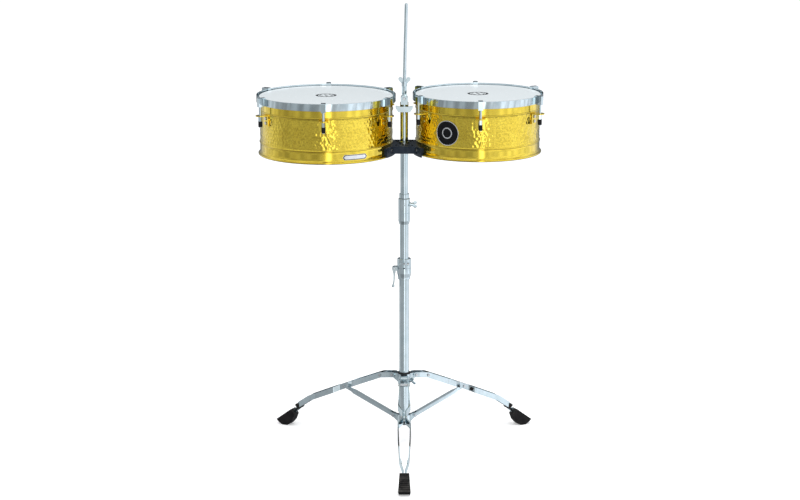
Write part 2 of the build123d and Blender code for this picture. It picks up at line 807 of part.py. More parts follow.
save(lower_lock_ring.part, "lower_lock_ring")

with BuildPart() as lower_ring_screw:
    extrude(disc(screw_axis, ring_screw_radius), amount=ring_screw_seat, both=True)
    with BuildSketch(screw_axis.offset(ring_screw_seat + rest_gap / 4)):
        RegularPolygon(ring_screw_head, 6)
    extrude(amount=ring_screw_head_height)
save(lower_ring_screw.part, "lower_ring_screw")

# ---- Upper clamp on the middle tube, with its bush, wing screw and lock ring ----
upper_bush_radius = upper_tube_radius + fit_gap + upper_bush_wall
with BuildPart() as upper_clamp:
    with BuildSketch(side_plane(0)):
        with BuildLine():
            Polyline(
                (0, upper_clamp_bottom),
                (middle_tube_radius + 1.4, upper_clamp_bottom),
                (upper_clamp_radius, upper_clamp_bottom + upper_clamp_taper),
                (upper_clamp_radius, upper_clamp_top),
                (0, upper_clamp_top),
                close=True,
            )
        make_face()
    revolve(axis=Axis.Z)
    fillet(upper_clamp.edges().filter_by(GeomType.CIRCLE).group_by(Axis.Z)[1:], 1.5)
    boss_axis = Plane((0, 0, wing_screw_level), z_dir=(1, 0, 0))
    extrude(disc(boss_axis, 6.5), amount=upper_clamp_radius + 2.5)
    extrude(disc(Plane.XY.offset(upper_clamp_bottom), middle_tube_radius), amount=100, mode=Mode.SUBTRACT)
    bush_seat = disc(Plane.XY.offset(middle_tube_top), upper_bush_radius)
    extrude(bush_seat, amount=100, mode=Mode.SUBTRACT)
    extrude(disc(boss_axis, 3.0 + fit_gap), amount=40, mode=Mode.SUBTRACT)
    with BuildSketch(Plane.XY.offset(clamp_slit_level)):
        with Locations((upper_clamp_radius / 2, -upper_clamp_radius)):
            Rectangle(upper_clamp_radius, upper_clamp_radius)
        Circle(upper_clamp_radius - 2, mode=Mode.SUBTRACT)
    extrude(amount=1.5, both=True, mode=Mode.SUBTRACT)
    dimple = Plane((0, -upper_clamp_radius, wing_screw_level), z_dir=(0, 1, 0))
    extrude(disc(dimple, 2.2), amount=1.5, mode=Mode.SUBTRACT)
save(upper_clamp.part, "upper_clamp")

with BuildPart() as upper_clamp_bush:
    with BuildSketch(Plane.XY.offset(middle_tube_top)):
        Circle(upper_bush_radius)
        Circle(upper_tube_radius + fit_gap, mode=Mode.SUBTRACT)
    extrude(amount=upper_clamp_top - middle_tube_top)
save(upper_clamp_bush.part, "upper_clamp_bush")


def wing_screw(plane, shank_start, hub_start, wing):
    """Winged screw along the plane's normal; the wings are turned about the screw."""
    wing_plane = Plane(
        origin=(plane.offset(hub_start)).origin,
        x_dir=plane.x_dir.rotate(Axis((0, 0, 0), plane.z_dir), wing["turn"]),
        z_dir=plane.z_dir,
    )
    upright = Plane(
        origin=wing_plane.origin,
        x_dir=wing_plane.x_dir,
        z_dir=wing_plane.x_dir.cross(wing_plane.z_dir),
    )
    with BuildPart() as screw:
        extrude(disc(plane.offset(shank_start), wing_shank_radius), amount=hub_start + 1 - shank_start)
        extrude(disc(plane.offset(hub_start), wing_hub_radius), amount=wing["reach"] * 0.55, taper=4)
        level = wing["reach"] - wing["ear"]
        wings = ear_outline(wing["span"], level, wing_hub_radius * 0.7, wing["ear"], upright)
        extrude(wings, amount=wing_half_thick, both=True)
    return screw.part


plane = Plane((0, 0, wing_screw_level), x_dir=(0, 1, 0), z_dir=(1, 0, 0))
hub_start = upper_clamp_radius + 2.5 + rest_gap
screw = wing_screw(plane, upper_bush_radius + fit_gap, hub_start, clamp_wing)
save(screw, "upper_clamp_wing_screw")

with BuildPart() as upper_lock_ring:
    with BuildSketch(Plane.XY.offset(upper_clamp_top + rest_gap)):
        Circle(upper_ring_radius)
        Circle(upper_tube_radius + fit_gap, mode=Mode.SUBTRACT)
    extrude(amount=upper_ring_height)
    fillet(upper_lock_ring.edges().filter_by(GeomType.CIRCLE).sort_by(SortBy.RADIUS)[-2:], 1.2)
    with BuildSketch(Plane.XY.offset(upper_clamp_top + rest_gap)):
        with Locations((0, upper_ring_radius)):
            Rectangle(4, 2 * upper_ring_radius)
    extrude(amount=upper_ring_height, mode=Mode.SUBTRACT)
save(upper_lock_ring.part, "upper_lock_ring")

# ---- Sliding collar that carries the tops of the legs ----
collar_bore = lower_tube_radius + fit_gap + collar_bush_wall
ear_eye = strap_depth / 2 - 1
with BuildPart() as leg_collar:
    extrude(disc(Plane.XY.offset(collar_bottom), collar_outer_radius), amount=collar_height)
    chamfer(leg_collar.edges().filter_by(GeomType.CIRCLE), 0.8)
    for azimuth in leg_azimuths.values():
        with BuildSketch(side_plane(azimuth)):
            with Locations((ear_radius, collar_pivot_z)):
                Circle(ear_eye)
            with BuildLine():
                Polyline(
                    (collar_outer_radius - 4, collar_pivot_z + ear_eye),
                    (ear_radius, collar_pivot_z + ear_eye),
                    (ear_radius, collar_pivot_z - ear_eye),
                    (collar_outer_radius - 4, collar_bottom + 4),
                    close=True,
                )
            make_face()
        extrude(amount=collar_ear_half, both=True)
    boss = Plane(
        (0, 0, collar_bottom + 12),
        x_dir=(0, 0, 1),
        z_dir=(cos(radians(collar_screw_azimuth)), sin(radians(collar_screw_azimuth)), 0),
    )
    extrude(disc(boss, 6.5), amount=collar_outer_radius + 2)
    extrude(disc(Plane.XY, collar_bore), amount=400, mode=Mode.SUBTRACT)
    extrude(disc(boss, 3.0 + fit_gap), amount=60, mode=Mode.SUBTRACT)
    for azimuth in leg_azimuths.values():
        with BuildSketch(side_plane(azimuth)):
            with Locations((ear_radius, collar_pivot_z)):
                Circle(pivot_bolt_radius + open_pivot_gap)
        extrude(amount=2 * collar_ear_half, both=True, mode=Mode.SUBTRACT)
save(leg_collar.part, "leg_collar")

with BuildPart() as collar_bush:
    extrude(disc(Plane.XY.offset(collar_bottom), collar_bore), amount=collar_height)
    top = Plane.XY.offset(collar_bottom + collar_height)
    extrude(disc(top, collar_outer_radius + 0.4), amount=collar_flange)
    fillet(collar_bush.edges().filter_by(GeomType.CIRCLE).sort_by(Axis.Z)[-1], 0.8)
    extrude(disc(Plane.XY, lower_tube_radius + fit_gap), amount=400, mode=Mode.SUBTRACT)
    extrude(disc(boss, 3.0 + fit_gap), amount=60, mode=Mode.SUBTRACT)
save(collar_bush.part, "collar_bush")

hub_start = collar_outer_radius + 2 + rest_gap
screw = wing_screw(boss, lower_tube_radius + fit_gap, hub_start, collar_wing)
save(screw, "collar_wing_screw")

# ---- Hub at the foot of the lower tube, with a tongue for each brace ----
tongue_half = brace_half_width - brace_wall - side_gap
with BuildPart() as lower_hub:
    extrude(disc(Plane.XY.offset(hub_bottom), hub_radius), amount=hub_height)
    fillet(lower_hub.edges().filter_by(GeomType.CIRCLE).group_by(Axis.Z)[0], 4)
    fillet(lower_hub.edges().filter_by(GeomType.CIRCLE).group_by(Axis.Z)[-1], 1.5)
    for azimuth in leg_azimuths.values():
        with BuildSketch(side_plane(azimuth)):
            with Locations((ear_radius, hub_pivot_z)):
                Circle(brace_end_radius - 0.6)
            with BuildLine():
                Polyline(
                    (lower_tube_radius + 2, hub_bottom + hub_height - 3),
                    (ear_radius, hub_pivot_z + brace_end_radius - 0.6),
                    (ear_radius + 3, hub_pivot_z - brace_end_radius + 1.4),
                    (hub_radius - 2, hub_bottom + 2),
                    (lower_tube_radius + 2, hub_bottom + 2),
                    close=True,
                )
            make_face()
        extrude(amount=tongue_half, both=True)
    extrude(disc(Plane.XY, lower_tube_radius), amount=400, mode=Mode.SUBTRACT)
    for azimuth in leg_azimuths.values():
        with BuildSketch(side_plane(azimuth)):
            with Locations((ear_radius, hub_pivot_z)):
                Circle(pivot_bolt_radius + 0.02)
        extrude(amount=2 * tongue_half, both=True, mode=Mode.SUBTRACT)
save(lower_hub.part, "lower_hub")


def cross_bolt(azimuth, radius, height, half_length):
    """Rivet across a leg's plane, with a head at each end."""
    a = radians(azimuth)
    across = (sin(a), -cos(a), 0)
    center = Vector(radius * cos(a), radius * sin(a), height)
    extrude(disc(Plane(center, z_dir=across), pivot_bolt_radius), amount=half_length, both=True)
    for side in (-1, 1):
        face = center + Vector(across) * (side * half_length)
        normal = Vector(across) * side
        extrude(disc(Plane(face, z_dir=normal), pivot_head_radius), amount=pivot_head_height, taper=15)


with BuildPart() as hub_pivot_bolts:
    for azimuth in leg_azimuths.values():
        cross_bolt(azimuth, ear_radius, hub_pivot_z, brace_half_width + rest_gap / 2)
save(hub_pivot_bolts.part, "hub_pivot_bolts")

# ---- Braces: channel bars from the hub up to the legs' middle pivots ----
def brace_planes(azimuth):
    """Planes through a brace's line: one across the leg's plane, one in it."""
    a = radians(azimuth)
    slope = radians(brace_angle)
    start = (ear_radius * cos(a), ear_radius * sin(a), hub_pivot_z)
    along = Vector(cos(a) * cos(slope), sin(a) * cos(slope), sin(slope))
    across = Vector(sin(a), -cos(a), 0)
    return Plane(start, x_dir=along, z_dir=across.cross(along)), Plane(start, x_dir=along, z_dir=across)


tip_start = brace_length - 38
inner_half = brace_half_width - brace_wall
for name, azimuth in leg_azimuths.items():
    flat, upright = brace_planes(azimuth)
    with BuildPart() as brace:
        with BuildSketch(flat):
            with BuildLine():
                Polyline(
                    (-brace_end_radius, brace_half_width),
                    (tip_start, brace_half_width),
                    (tip_start + 12, brace_tip_half),
                    (brace_length + brace_end_radius, brace_tip_half),
                    (brace_length + brace_end_radius, -brace_tip_half),
                    (tip_start + 12, -brace_tip_half),
                    (tip_start, -brace_half_width),
                    (-brace_end_radius, -brace_half_width),
                    close=True,
                )
            make_face()
        extrude(amount=brace_end_radius, both=True)
        with BuildSketch(upright):
            Circle(brace_end_radius)
            with Locations((brace_length, 0)):
                Circle(brace_end_radius)
            with Locations((brace_length / 2, 0)):
                Rectangle(brace_length, brace_depth)
        extrude(amount=brace_half_width, both=True, mode=Mode.INTERSECT)
        with BuildSketch(flat.offset(-2 * brace_depth)):
            with Locations((tip_start / 2 - 12, 0)):
                Rectangle(tip_start, 2 * inner_half)
        extrude(amount=2.5 * brace_depth - brace_wall, mode=Mode.SUBTRACT)
        with BuildSketch(flat):
            Rectangle(4 * brace_end_radius, 2 * inner_half)
        extrude(amount=brace_depth, both=True, mode=Mode.SUBTRACT)
        with BuildSketch(upright):
            with Locations((0, 0), (brace_length, 0)):
                Circle(pivot_bolt_radius + pivot_gap)
        extrude(amount=2 * brace_half_width, both=True, mode=Mode.SUBTRACT)
    save(brace.part, f"{name}_brace")

# ---- Legs: a pair of bowed straps each, pinched at the brace's pivot and at the foot ----
strap_root = collar_ear_half + side_gap + strap_thick / 2
leg_points = [(ear_radius, collar_pivot_z)] + leg_line
bow_points = [(ear_radius - strap_depth, strap_root), (ear_radius + 12, strap_root)] + strap_bow + strap_foot


def strap_outline(depth, points, plane, corner):
    """A bar's outline: a line of points with a width, its corners rounded."""
    with BuildSketch(plane) as outline:
        with BuildLine():
            line = FilletPolyline(*points, radius=corner)
            offset(line, amount=depth / 2, side=Side.BOTH, mode=Mode.REPLACE)
        make_face()
    return outline.sketch


def strap_pair(azimuth, extra):
    """Both straps of a leg; extra widens them, for the foot's socket."""
    plane = side_plane(azimuth)
    with BuildPart() as straps:
        band = strap_outline(strap_depth + 2 * extra, leg_points, plane, leg_line_fillet)
        extrude(band, amount=40, both=True)
        stem = strap_outline(stem_depth + 2 * extra, stem_line, plane, leg_line_fillet)
        extrude(stem, amount=40, both=True)
        with BuildSketch(top_plane(azimuth)):
            add(strap_outline(strap_thick + 2 * extra, bow_points, Plane.XY, strap_fillet))
            mirror(about=Plane.XZ)
        extrude(amount=400, mode=Mode.INTERSECT)
    return straps.part


for name, azimuth in leg_azimuths.items():
    pair = strap_pair(azimuth, 0)
    with BuildPart() as straps:
        add(pair)
        with BuildSketch(side_plane(azimuth)):
            with Locations((ear_radius, collar_pivot_z), (leg_pivot_radius, leg_pivot_z)):
                Circle(pivot_bolt_radius + pivot_gap)
            with Locations((spacer_radius, collar_pivot_z - spacer_drop)):
                Circle(pivot_bolt_radius + pivot_gap)
        extrude(amount=40, both=True, mode=Mode.SUBTRACT)
    save(straps.part, f"{name}_leg_straps")

    with BuildPart() as bolts:
        cross_bolt(azimuth, ear_radius, collar_pivot_z, strap_root + strap_thick / 2 + rest_gap)
        pinch = strap_bow[1][1] + strap_thick / 2
        cross_bolt(azimuth, leg_pivot_radius, leg_pivot_z, pinch + rest_gap)
        share = (spacer_radius - ear_radius - 12) / (strap_bow[0][0] - ear_radius - 12)
        spread = strap_root + share * (strap_bow[0][1] - strap_root)
        cross_bolt(azimuth, spacer_radius, collar_pivot_z - spacer_drop, spread + strap_thick / 2 + 0.7)
        with BuildSketch(side_plane(azimuth)):
            with Locations((spacer_radius, collar_pivot_z - spacer_drop)):
                Circle(pivot_head_radius)
        extrude(amount=spread - strap_thick / 2 - 0.7, both=True)
    save(bolts.part, f"{name}_leg_bolts")

# ---- Feet: ribbed rubber boots on the legs' ends ----
toe = foot_outline[1]
heel = foot_outline[0]
foot_slope = degrees(atan2(toe[1] - heel[1], toe[0] - heel[0]))
band_place = Location((*foot_band_center, 0), (0, 0, foot_band_slope))
for name, azimuth in leg_azimuths.items():
    socket = strap_pair(azimuth, foot_socket_gap)
    with BuildPart() as foot:
        with BuildSketch(side_plane(azimuth)) as outline:
            with BuildLine():
                Polyline(*foot_outline, close=True)
            make_face()
            fillet(outline.vertices().sort_by(Axis.X)[:1], 3)
        extrude(amount=foot_outer_half, both=True)
        with BuildSketch(top_plane(azimuth)):
            with BuildLine():
                left = foot_outline[7][0] - 2
                right = toe[0] + 2
                Polyline(
                    (left, foot_inner_half), (right, foot_outer_half),
                    (right, -foot_outer_half), (left, -foot_inner_half), close=True,
                )
            make_face()
        extrude(amount=100, mode=Mode.INTERSECT)
        rib_plane = side_plane(azimuth)
        for i in range(foot_ribs):
            share = (i + 1.0) / (foot_ribs + 1)
            place = (heel[0] + share * (toe[0] - heel[0]), heel[1] + share * (toe[1] - heel[1]))
            with BuildSketch(rib_plane):
                with Locations(Location((*place, 0), (0, 0, foot_slope))):
                    Rectangle(rib_width, rib_depth)
            extrude(amount=2 * foot_outer_half, both=True, mode=Mode.SUBTRACT)
        if name != "front":
            with BuildSketch(rib_plane):
                with Locations(band_place):
                    Rectangle(foot_band_length, foot_band_depth)
            extrude(amount=foot_band_half, both=True)
        add(socket, mode=Mode.SUBTRACT)
    save(foot.part, f"{name}_foot")

# ---- Cowbell holder: fork on the post, tilting head, and the clamped rod ----
with BuildPart() as post_collar:
    extrude(disc(Plane.XY.offset(block_top + rest_gap / 2), upper_tube_radius + 4), amount=5)
    extrude(disc(Plane.XY, upper_tube_radius + 0.02), amount=2000, mode=Mode.SUBTRACT)
save(post_collar.part, "post_collar")

holder_screw = Plane((0, 0, tilter_bottom + holder_screw_rise), x_dir=(1, 0, 0), z_dir=(0, -1, 0))
pivot_axis = Plane((0, 0, tilter_pivot_z), x_dir=(1, 0, 0), z_dir=(0, -1, 0))
fork_floor = tilter_bottom + tilter_body_height
with BuildPart() as tilter_base:
    extrude(disc(Plane.XY.offset(tilter_bottom), tilter_half_width), amount=tilter_body_height)
    with BuildSketch(pivot_axis):
        Circle(tilter_cheek_radius)
        with Locations((0, (fork_floor - tilter_pivot_z - 6) / 2)):
            Rectangle(2 * tilter_cheek_radius, tilter_pivot_z - fork_floor + 6)
    extrude(amount=tilter_half_width, both=True)
    with BuildSketch(Plane.XY.offset(fork_floor)):
        Rectangle(4 * tilter_half_width, 2 * tilter_slot_half)
    extrude(amount=60, mode=Mode.SUBTRACT)
    spigot = disc(Plane.XY.offset(tilter_bottom), upper_tube_radius - tube_wall - fit_gap)
    extrude(spigot, amount=-25)
    extrude(disc(holder_screw, holder_screw_radius + fit_gap), amount=40, mode=Mode.SUBTRACT)
    extrude(disc(pivot_axis, pivot_bolt_radius + pivot_gap), amount=40, both=True, mode=Mode.SUBTRACT)
save(tilter_base.part, "tilter_base")

with BuildPart() as tilter_pivot_bolt:
    extrude(disc(pivot_axis, pivot_bolt_radius), amount=tilter_half_width + 0.3, both=True)
    for side in (-1, 1):
        face = Plane((0, side * (tilter_half_width + 0.3), tilter_pivot_z), z_dir=(0, side, 0))
        extrude(disc(face, pivot_head_radius), amount=pivot_head_height, taper=15)
save(tilter_pivot_bolt.part, "tilter_pivot_bolt")

wing_face = tilter_half_width + 6
with BuildPart() as holder_wing_screw:
    extrude(disc(holder_screw, holder_screw_radius), amount=wing_face + 1)
    extrude(disc(holder_screw.offset(tilter_half_width + rest_gap), 7), amount=wing_face - tilter_half_width)
    with BuildSketch(holder_screw.offset(wing_face)) as wing:
        with BuildLine():
            Polyline(*holder_wing_outline, close=True)
        make_face()
        fillet(wing.vertices(), 1.6)
    extrude(amount=holder_wing_thick)
save(holder_wing_screw.part, "holder_wing_screw")

lean = radians(bell_rod_lean)
rod_up = Vector(sin(lean), 0, cos(lean))


def rod_plane(level):
    """Plane across the bell rod, which leans a little from the neck's top."""
    place = Vector(0, 0, neck_top) + rod_up * (level - neck_top)
    return Plane(place, x_dir=(cos(lean), 0, -sin(lean)), z_dir=rod_up)


neck_low = tilter_pivot_z + tilter_cheek_radius + 2
with BuildPart() as tilter_head:
    with BuildSketch(pivot_axis):
        Circle(tilter_cheek_radius - 1)
        with Locations((0, (tilter_cheek_radius + 6) / 2)):
            Rectangle(2 * (tilter_cheek_radius - 3), tilter_cheek_radius + 6)
    extrude(amount=tilter_slot_half - side_gap, both=True)
    extrude(disc(Plane.XY.offset(neck_low), neck_half_width), amount=neck_top - neck_low)
    chamfer(tilter_head.edges().filter_by(GeomType.CIRCLE).filter_by(Plane.XY).sort_by(Axis.Z)[0], 1.5)
    extrude(disc(rod_plane(neck_top - 0.5), collet_radius), amount=collet_height + 0.5)
    bore = disc(rod_plane(bell_rod_bottom - rest_gap), bell_rod_seat_radius + fit_gap)
    extrude(bore, amount=60, mode=Mode.SUBTRACT)
    hole = disc(pivot_axis, pivot_bolt_radius + pivot_gap)
    extrude(hole, amount=40, both=True, mode=Mode.SUBTRACT)
save(tilter_head.part, "tilter_head")

nut_low = neck_top + rest_gap
with BuildPart() as rod_wing_nut:
    extrude(disc(rod_plane(nut_low), rod_nut_radius), amount=rod_nut_height, taper=5)
    base = rod_plane(nut_low + 1)
    upright = Plane(base.origin, x_dir=base.x_dir, z_dir=base.x_dir.cross(base.z_dir))
    level = rod_nut_reach - rod_nut_ear - 1
    wings = ear_outline(rod_nut_span, level, rod_nut_radius * 0.7, rod_nut_ear, upright)
    extrude(wings, amount=1.7, both=True)
    thread = disc(rod_plane(nut_low - 1), collet_radius + fit_gap)
    extrude(thread, amount=collet_height + 1.5, mode=Mode.SUBTRACT)
    hole = disc(rod_plane(nut_low), bell_rod_seat_radius + 0.3)
    extrude(hole, amount=60, mode=Mode.SUBTRACT)
save(rod_wing_nut.part, "rod_wing_nut")

with BuildPart() as bell_rod:
    seat_top = nut_low + rod_nut_reach + 2
    extrude(disc(rod_plane(bell_rod_bottom), bell_rod_seat_radius), amount=seat_top - bell_rod_bottom)
    extrude(disc(rod_plane(seat_top), bell_rod_radius), amount=bell_rod_top - seat_top)
    fillet(bell_rod.edges().filter_by(GeomType.CIRCLE).sort_by(Axis.Z)[-1], bell_rod_radius - 0.05)
save(bell_rod.part, "bell_rod")
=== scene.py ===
import json
import math
import random
import bpy
import bmesh
from mathutils import Matrix, Vector


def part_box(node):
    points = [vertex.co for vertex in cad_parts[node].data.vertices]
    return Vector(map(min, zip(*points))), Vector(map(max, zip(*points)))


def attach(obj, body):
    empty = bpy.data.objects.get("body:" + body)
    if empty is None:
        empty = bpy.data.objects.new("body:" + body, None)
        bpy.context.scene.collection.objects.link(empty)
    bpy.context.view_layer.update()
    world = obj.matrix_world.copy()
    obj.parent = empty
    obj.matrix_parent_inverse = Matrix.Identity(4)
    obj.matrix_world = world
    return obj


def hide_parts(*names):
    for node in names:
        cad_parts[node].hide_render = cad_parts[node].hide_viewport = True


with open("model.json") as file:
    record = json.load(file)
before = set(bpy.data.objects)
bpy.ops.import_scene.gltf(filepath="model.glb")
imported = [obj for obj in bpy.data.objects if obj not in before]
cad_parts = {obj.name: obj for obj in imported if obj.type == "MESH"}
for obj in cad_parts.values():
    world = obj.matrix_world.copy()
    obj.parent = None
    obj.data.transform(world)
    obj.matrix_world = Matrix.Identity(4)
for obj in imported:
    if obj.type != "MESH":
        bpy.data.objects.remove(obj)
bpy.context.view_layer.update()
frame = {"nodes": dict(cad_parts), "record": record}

mm = 0.001
fullTurn = 2 * math.pi
print("frame loaded with", len(frame["nodes"]), "pieces")

# Middles of the drums, from their shells
drumMiddle = {}
for drumName in ("large", "small"):
    low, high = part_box(drumName + "_shell")
    drumMiddle[drumName] = {"x": (low.x + high.x) / 2, "bottom": low.z, "top": high.z}
drumMiddle["large"]["radius"] = 189.0 * mm
drumMiddle["small"]["radius"] = 176.5 * mm


# Short helpers that add one shader node each

def makeTree(name):
    mat = bpy.data.materials.new(name)
    mat.use_nodes = True
    tree = mat.node_tree
    tree.nodes.clear()
    out = tree.nodes.new("ShaderNodeOutputMaterial")
    shader = tree.nodes.new("ShaderNodeBsdfPrincipled")
    tree.links.new(shader.outputs["BSDF"], out.inputs["Surface"])
    coords = tree.nodes.new("ShaderNodeTexCoord").outputs["Object"]
    return mat, tree, shader, coords


def mathNode(tree, operation, a, b=None, clamp=False):
    node = tree.nodes.new("ShaderNodeMath")
    node.operation = operation
    node.use_clamp = clamp
    for slotIndex, value in enumerate((a, b)):
        if value is None:
            continue
        if isinstance(value, (int, float)):
            node.inputs[slotIndex].default_value = value
        else:
            tree.links.new(value, node.inputs[slotIndex])
    return node.outputs[0]


def noiseNode(tree, vector, scale, detail=2.0, rough=0.5):
    node = tree.nodes.new("ShaderNodeTexNoise")
    if isinstance(scale, (int, float)):
        node.inputs["Scale"].default_value = scale
    else:
        tree.links.new(scale, node.inputs["Scale"])
    node.inputs["Detail"].default_value = detail
    node.inputs["Roughness"].default_value = rough
    tree.links.new(vector, node.inputs["Vector"])
    return node.outputs["Fac"]


def rampNode(tree, value, low, high, outLow=0.0, outHigh=1.0):
    node = tree.nodes.new("ShaderNodeMapRange")
    node.interpolation_type = "SMOOTHSTEP"
    for key, v in (("From Min", low), ("From Max", high), ("To Min", outLow), ("To Max", outHigh)):
        node.inputs[key].default_value = v
    tree.links.new(value, node.inputs["Value"])
    return node.outputs["Result"]


def mixColor(tree, factor, a, b):
    node = tree.nodes.new("ShaderNodeMix")
    node.data_type = "RGBA"
    tree.links.new(factor, node.inputs["Factor"])
    for key, value in (("A", a), ("B", b)):
        found = [s for s in node.inputs if s.name == key and s.type == "RGBA"][0]
        if isinstance(value, (tuple, list)):
            found.default_value = (*value, 1.0)
        else:
            tree.links.new(value, found)
    return [s for s in node.outputs if s.type == "RGBA"][0]


def stretched(tree, vector, scale):
    node = tree.nodes.new("ShaderNodeMapping")
    node.inputs["Scale"].default_value = scale
    tree.links.new(vector, node.inputs["Vector"])
    return node.outputs["Vector"]


def bumpNode(tree, height, distance, strength=1.0):
    node = tree.nodes.new("ShaderNodeBump")
    node.inputs["Strength"].default_value = strength
    node.inputs["Distance"].default_value = distance
    tree.links.new(height, node.inputs["Height"])
    return node.outputs["Normal"]


def groupShell(name, inputs, outputs):
    group = bpy.data.node_groups.new(name, "ShaderNodeTree")
    for socketName, kind, value in inputs:
        socket = group.interface.new_socket(name=socketName, in_out="INPUT", socket_type=kind)
        if value is not None:
            socket.default_value = value
    for socketName, kind in outputs:
        group.interface.new_socket(name=socketName, in_out="OUTPUT", socket_type=kind)
    start = group.nodes.new("NodeGroupInput")
    end = group.nodes.new("NodeGroupOutput")
    return group, start, end


# Smudges from hands and cloths: broad soft patches and a few finer wipes
smudgeGroup, smudgeIn, smudgeOut = groupShell(
    "handledMetal",
    [("Vector", "NodeSocketVector", None), ("Patch Scale", "NodeSocketFloat", 14.0),
     ("Wipe Scale", "NodeSocketFloat", 90.0)],
    [("Mask", "NodeSocketFloat"), ("Wipes", "NodeSocketFloat")])
patches = noiseNode(smudgeGroup, smudgeIn.outputs["Vector"], smudgeIn.outputs["Patch Scale"], 3.0, 0.55)
wipeSpace = stretched(smudgeGroup, smudgeIn.outputs["Vector"], (1.0, 1.0, 0.25))
wipes = noiseNode(smudgeGroup, wipeSpace, smudgeIn.outputs["Wipe Scale"], 4.0, 0.65)
softPatches = rampNode(smudgeGroup, patches, 0.42, 0.68)
softWipes = rampNode(smudgeGroup, wipes, 0.38, 0.75)
smudgeGroup.links.new(mathNode(smudgeGroup, "MULTIPLY", softPatches, softWipes), smudgeOut.inputs["Mask"])
smudgeGroup.links.new(softWipes, smudgeOut.inputs["Wipes"])

# Hairline scratches: thin ridges of noise, thinned out by a second one
scratchGroup, scratchIn, scratchOut = groupShell(
    "hairlineScratches",
    [("Vector", "NodeSocketVector", None), ("Scale", "NodeSocketFloat", 260.0)],
    [("Mask", "NodeSocketFloat")])
tilted = scratchGroup.nodes.new("ShaderNodeMapping")
tilted.inputs["Rotation"].default_value = (0.4, 0.9, 0.3)
tilted.inputs["Scale"].default_value = (1.0, 0.07, 0.5)
scratchGroup.links.new(scratchIn.outputs["Vector"], tilted.inputs["Vector"])
lines = noiseNode(scratchGroup, tilted.outputs["Vector"], scratchIn.outputs["Scale"], 1.0, 0.4)
nearHalf = mathNode(scratchGroup, "ABSOLUTE", mathNode(scratchGroup, "SUBTRACT", lines, 0.5))
thin = rampNode(scratchGroup, nearHalf, 0.0, 0.012, 1.0, 0.0)
sparse = rampNode(scratchGroup, noiseNode(scratchGroup, scratchIn.outputs["Vector"], 34.0), 0.52, 0.7)
scratchGroup.links.new(mathNode(scratchGroup, "MULTIPLY", thin, sparse), scratchOut.inputs["Mask"])

# Dust that settles: fine specks and a thin film, on faces that point up
dustGroup, dustIn, dustOut = groupShell(
    "settledDust",
    [("Vector", "NodeSocketVector", None), ("Speck Scale", "NodeSocketFloat", 700.0)],
    [("Mask", "NodeSocketFloat")])
facing = dustGroup.nodes.new("ShaderNodeNewGeometry")
upward = dustGroup.nodes.new("ShaderNodeSeparateXYZ")
dustGroup.links.new(facing.outputs["Normal"], upward.inputs["Vector"])
lying = rampNode(dustGroup, upward.outputs["Z"], 0.2, 0.95)
speckNoise = noiseNode(dustGroup, dustIn.outputs["Vector"], dustIn.outputs["Speck Scale"], 2.0)
specks = rampNode(dustGroup, speckNoise, 0.5, 0.72)
film = rampNode(dustGroup, noiseNode(dustGroup, dustIn.outputs["Vector"], 45.0, 3.0), 0.4, 0.7)
dusty = mathNode(dustGroup, "MULTIPLY", lying, mathNode(dustGroup, "ADD", specks, film, True))
dustGroup.links.new(dusty, dustOut.inputs["Mask"])


def useGroup(tree, group, vector, **values):
    node = tree.nodes.new("ShaderNodeGroup")
    node.node_tree = group
    tree.links.new(vector, node.inputs["Vector"])
    for key, value in values.items():
        node.inputs[key.replace("_", " ")].default_value = value
    return node


# Finishes: every metal shares one recipe, every dark piece another

def metalFinish(name, look):
    mat, tree, shader, coords = makeTree(name)
    smudge = useGroup(tree, smudgeGroup, coords, Patch_Scale=look["patchScale"], Wipe_Scale=look["wipeScale"])
    scratch = useGroup(tree, scratchGroup, coords, Scale=look["scratchScale"])
    tone = noiseNode(tree, coords, look["toneScale"], 3.0)
    base = mixColor(tree, rampNode(tree, tone, 0.3, 0.7), look["colorA"], look["colorB"])
    tint = mathNode(tree, "MULTIPLY", smudge.outputs["Mask"], look["smudgeTint"])
    worn = mixColor(tree, tint, base, look["smudgeColor"])
    tree.links.new(worn, shader.inputs["Base Color"])
    shader.inputs["Metallic"].default_value = 1.0
    rough = mathNode(tree, "MULTIPLY", smudge.outputs["Mask"], look["smudgeRough"])
    rough = mathNode(tree, "ADD", rough, mathNode(tree, "MULTIPLY", scratch.outputs["Mask"], 0.12))
    rough = mathNode(tree, "ADD", rough, look["roughness"], True)
    tree.links.new(rough, shader.inputs["Roughness"])
    grain = noiseNode(tree, coords, look["grainScale"], 2.0)
    height = mathNode(tree, "SUBTRACT", grain, mathNode(tree, "MULTIPLY", scratch.outputs["Mask"], 0.6))
    tree.links.new(bumpNode(tree, height, look["grainDepth"] * mm, 0.35), shader.inputs["Normal"])
    shader.inputs["Coat Weight"].default_value = look.get("coat", 0.0)
    shader.inputs["Coat Roughness"].default_value = 0.06
    return mat


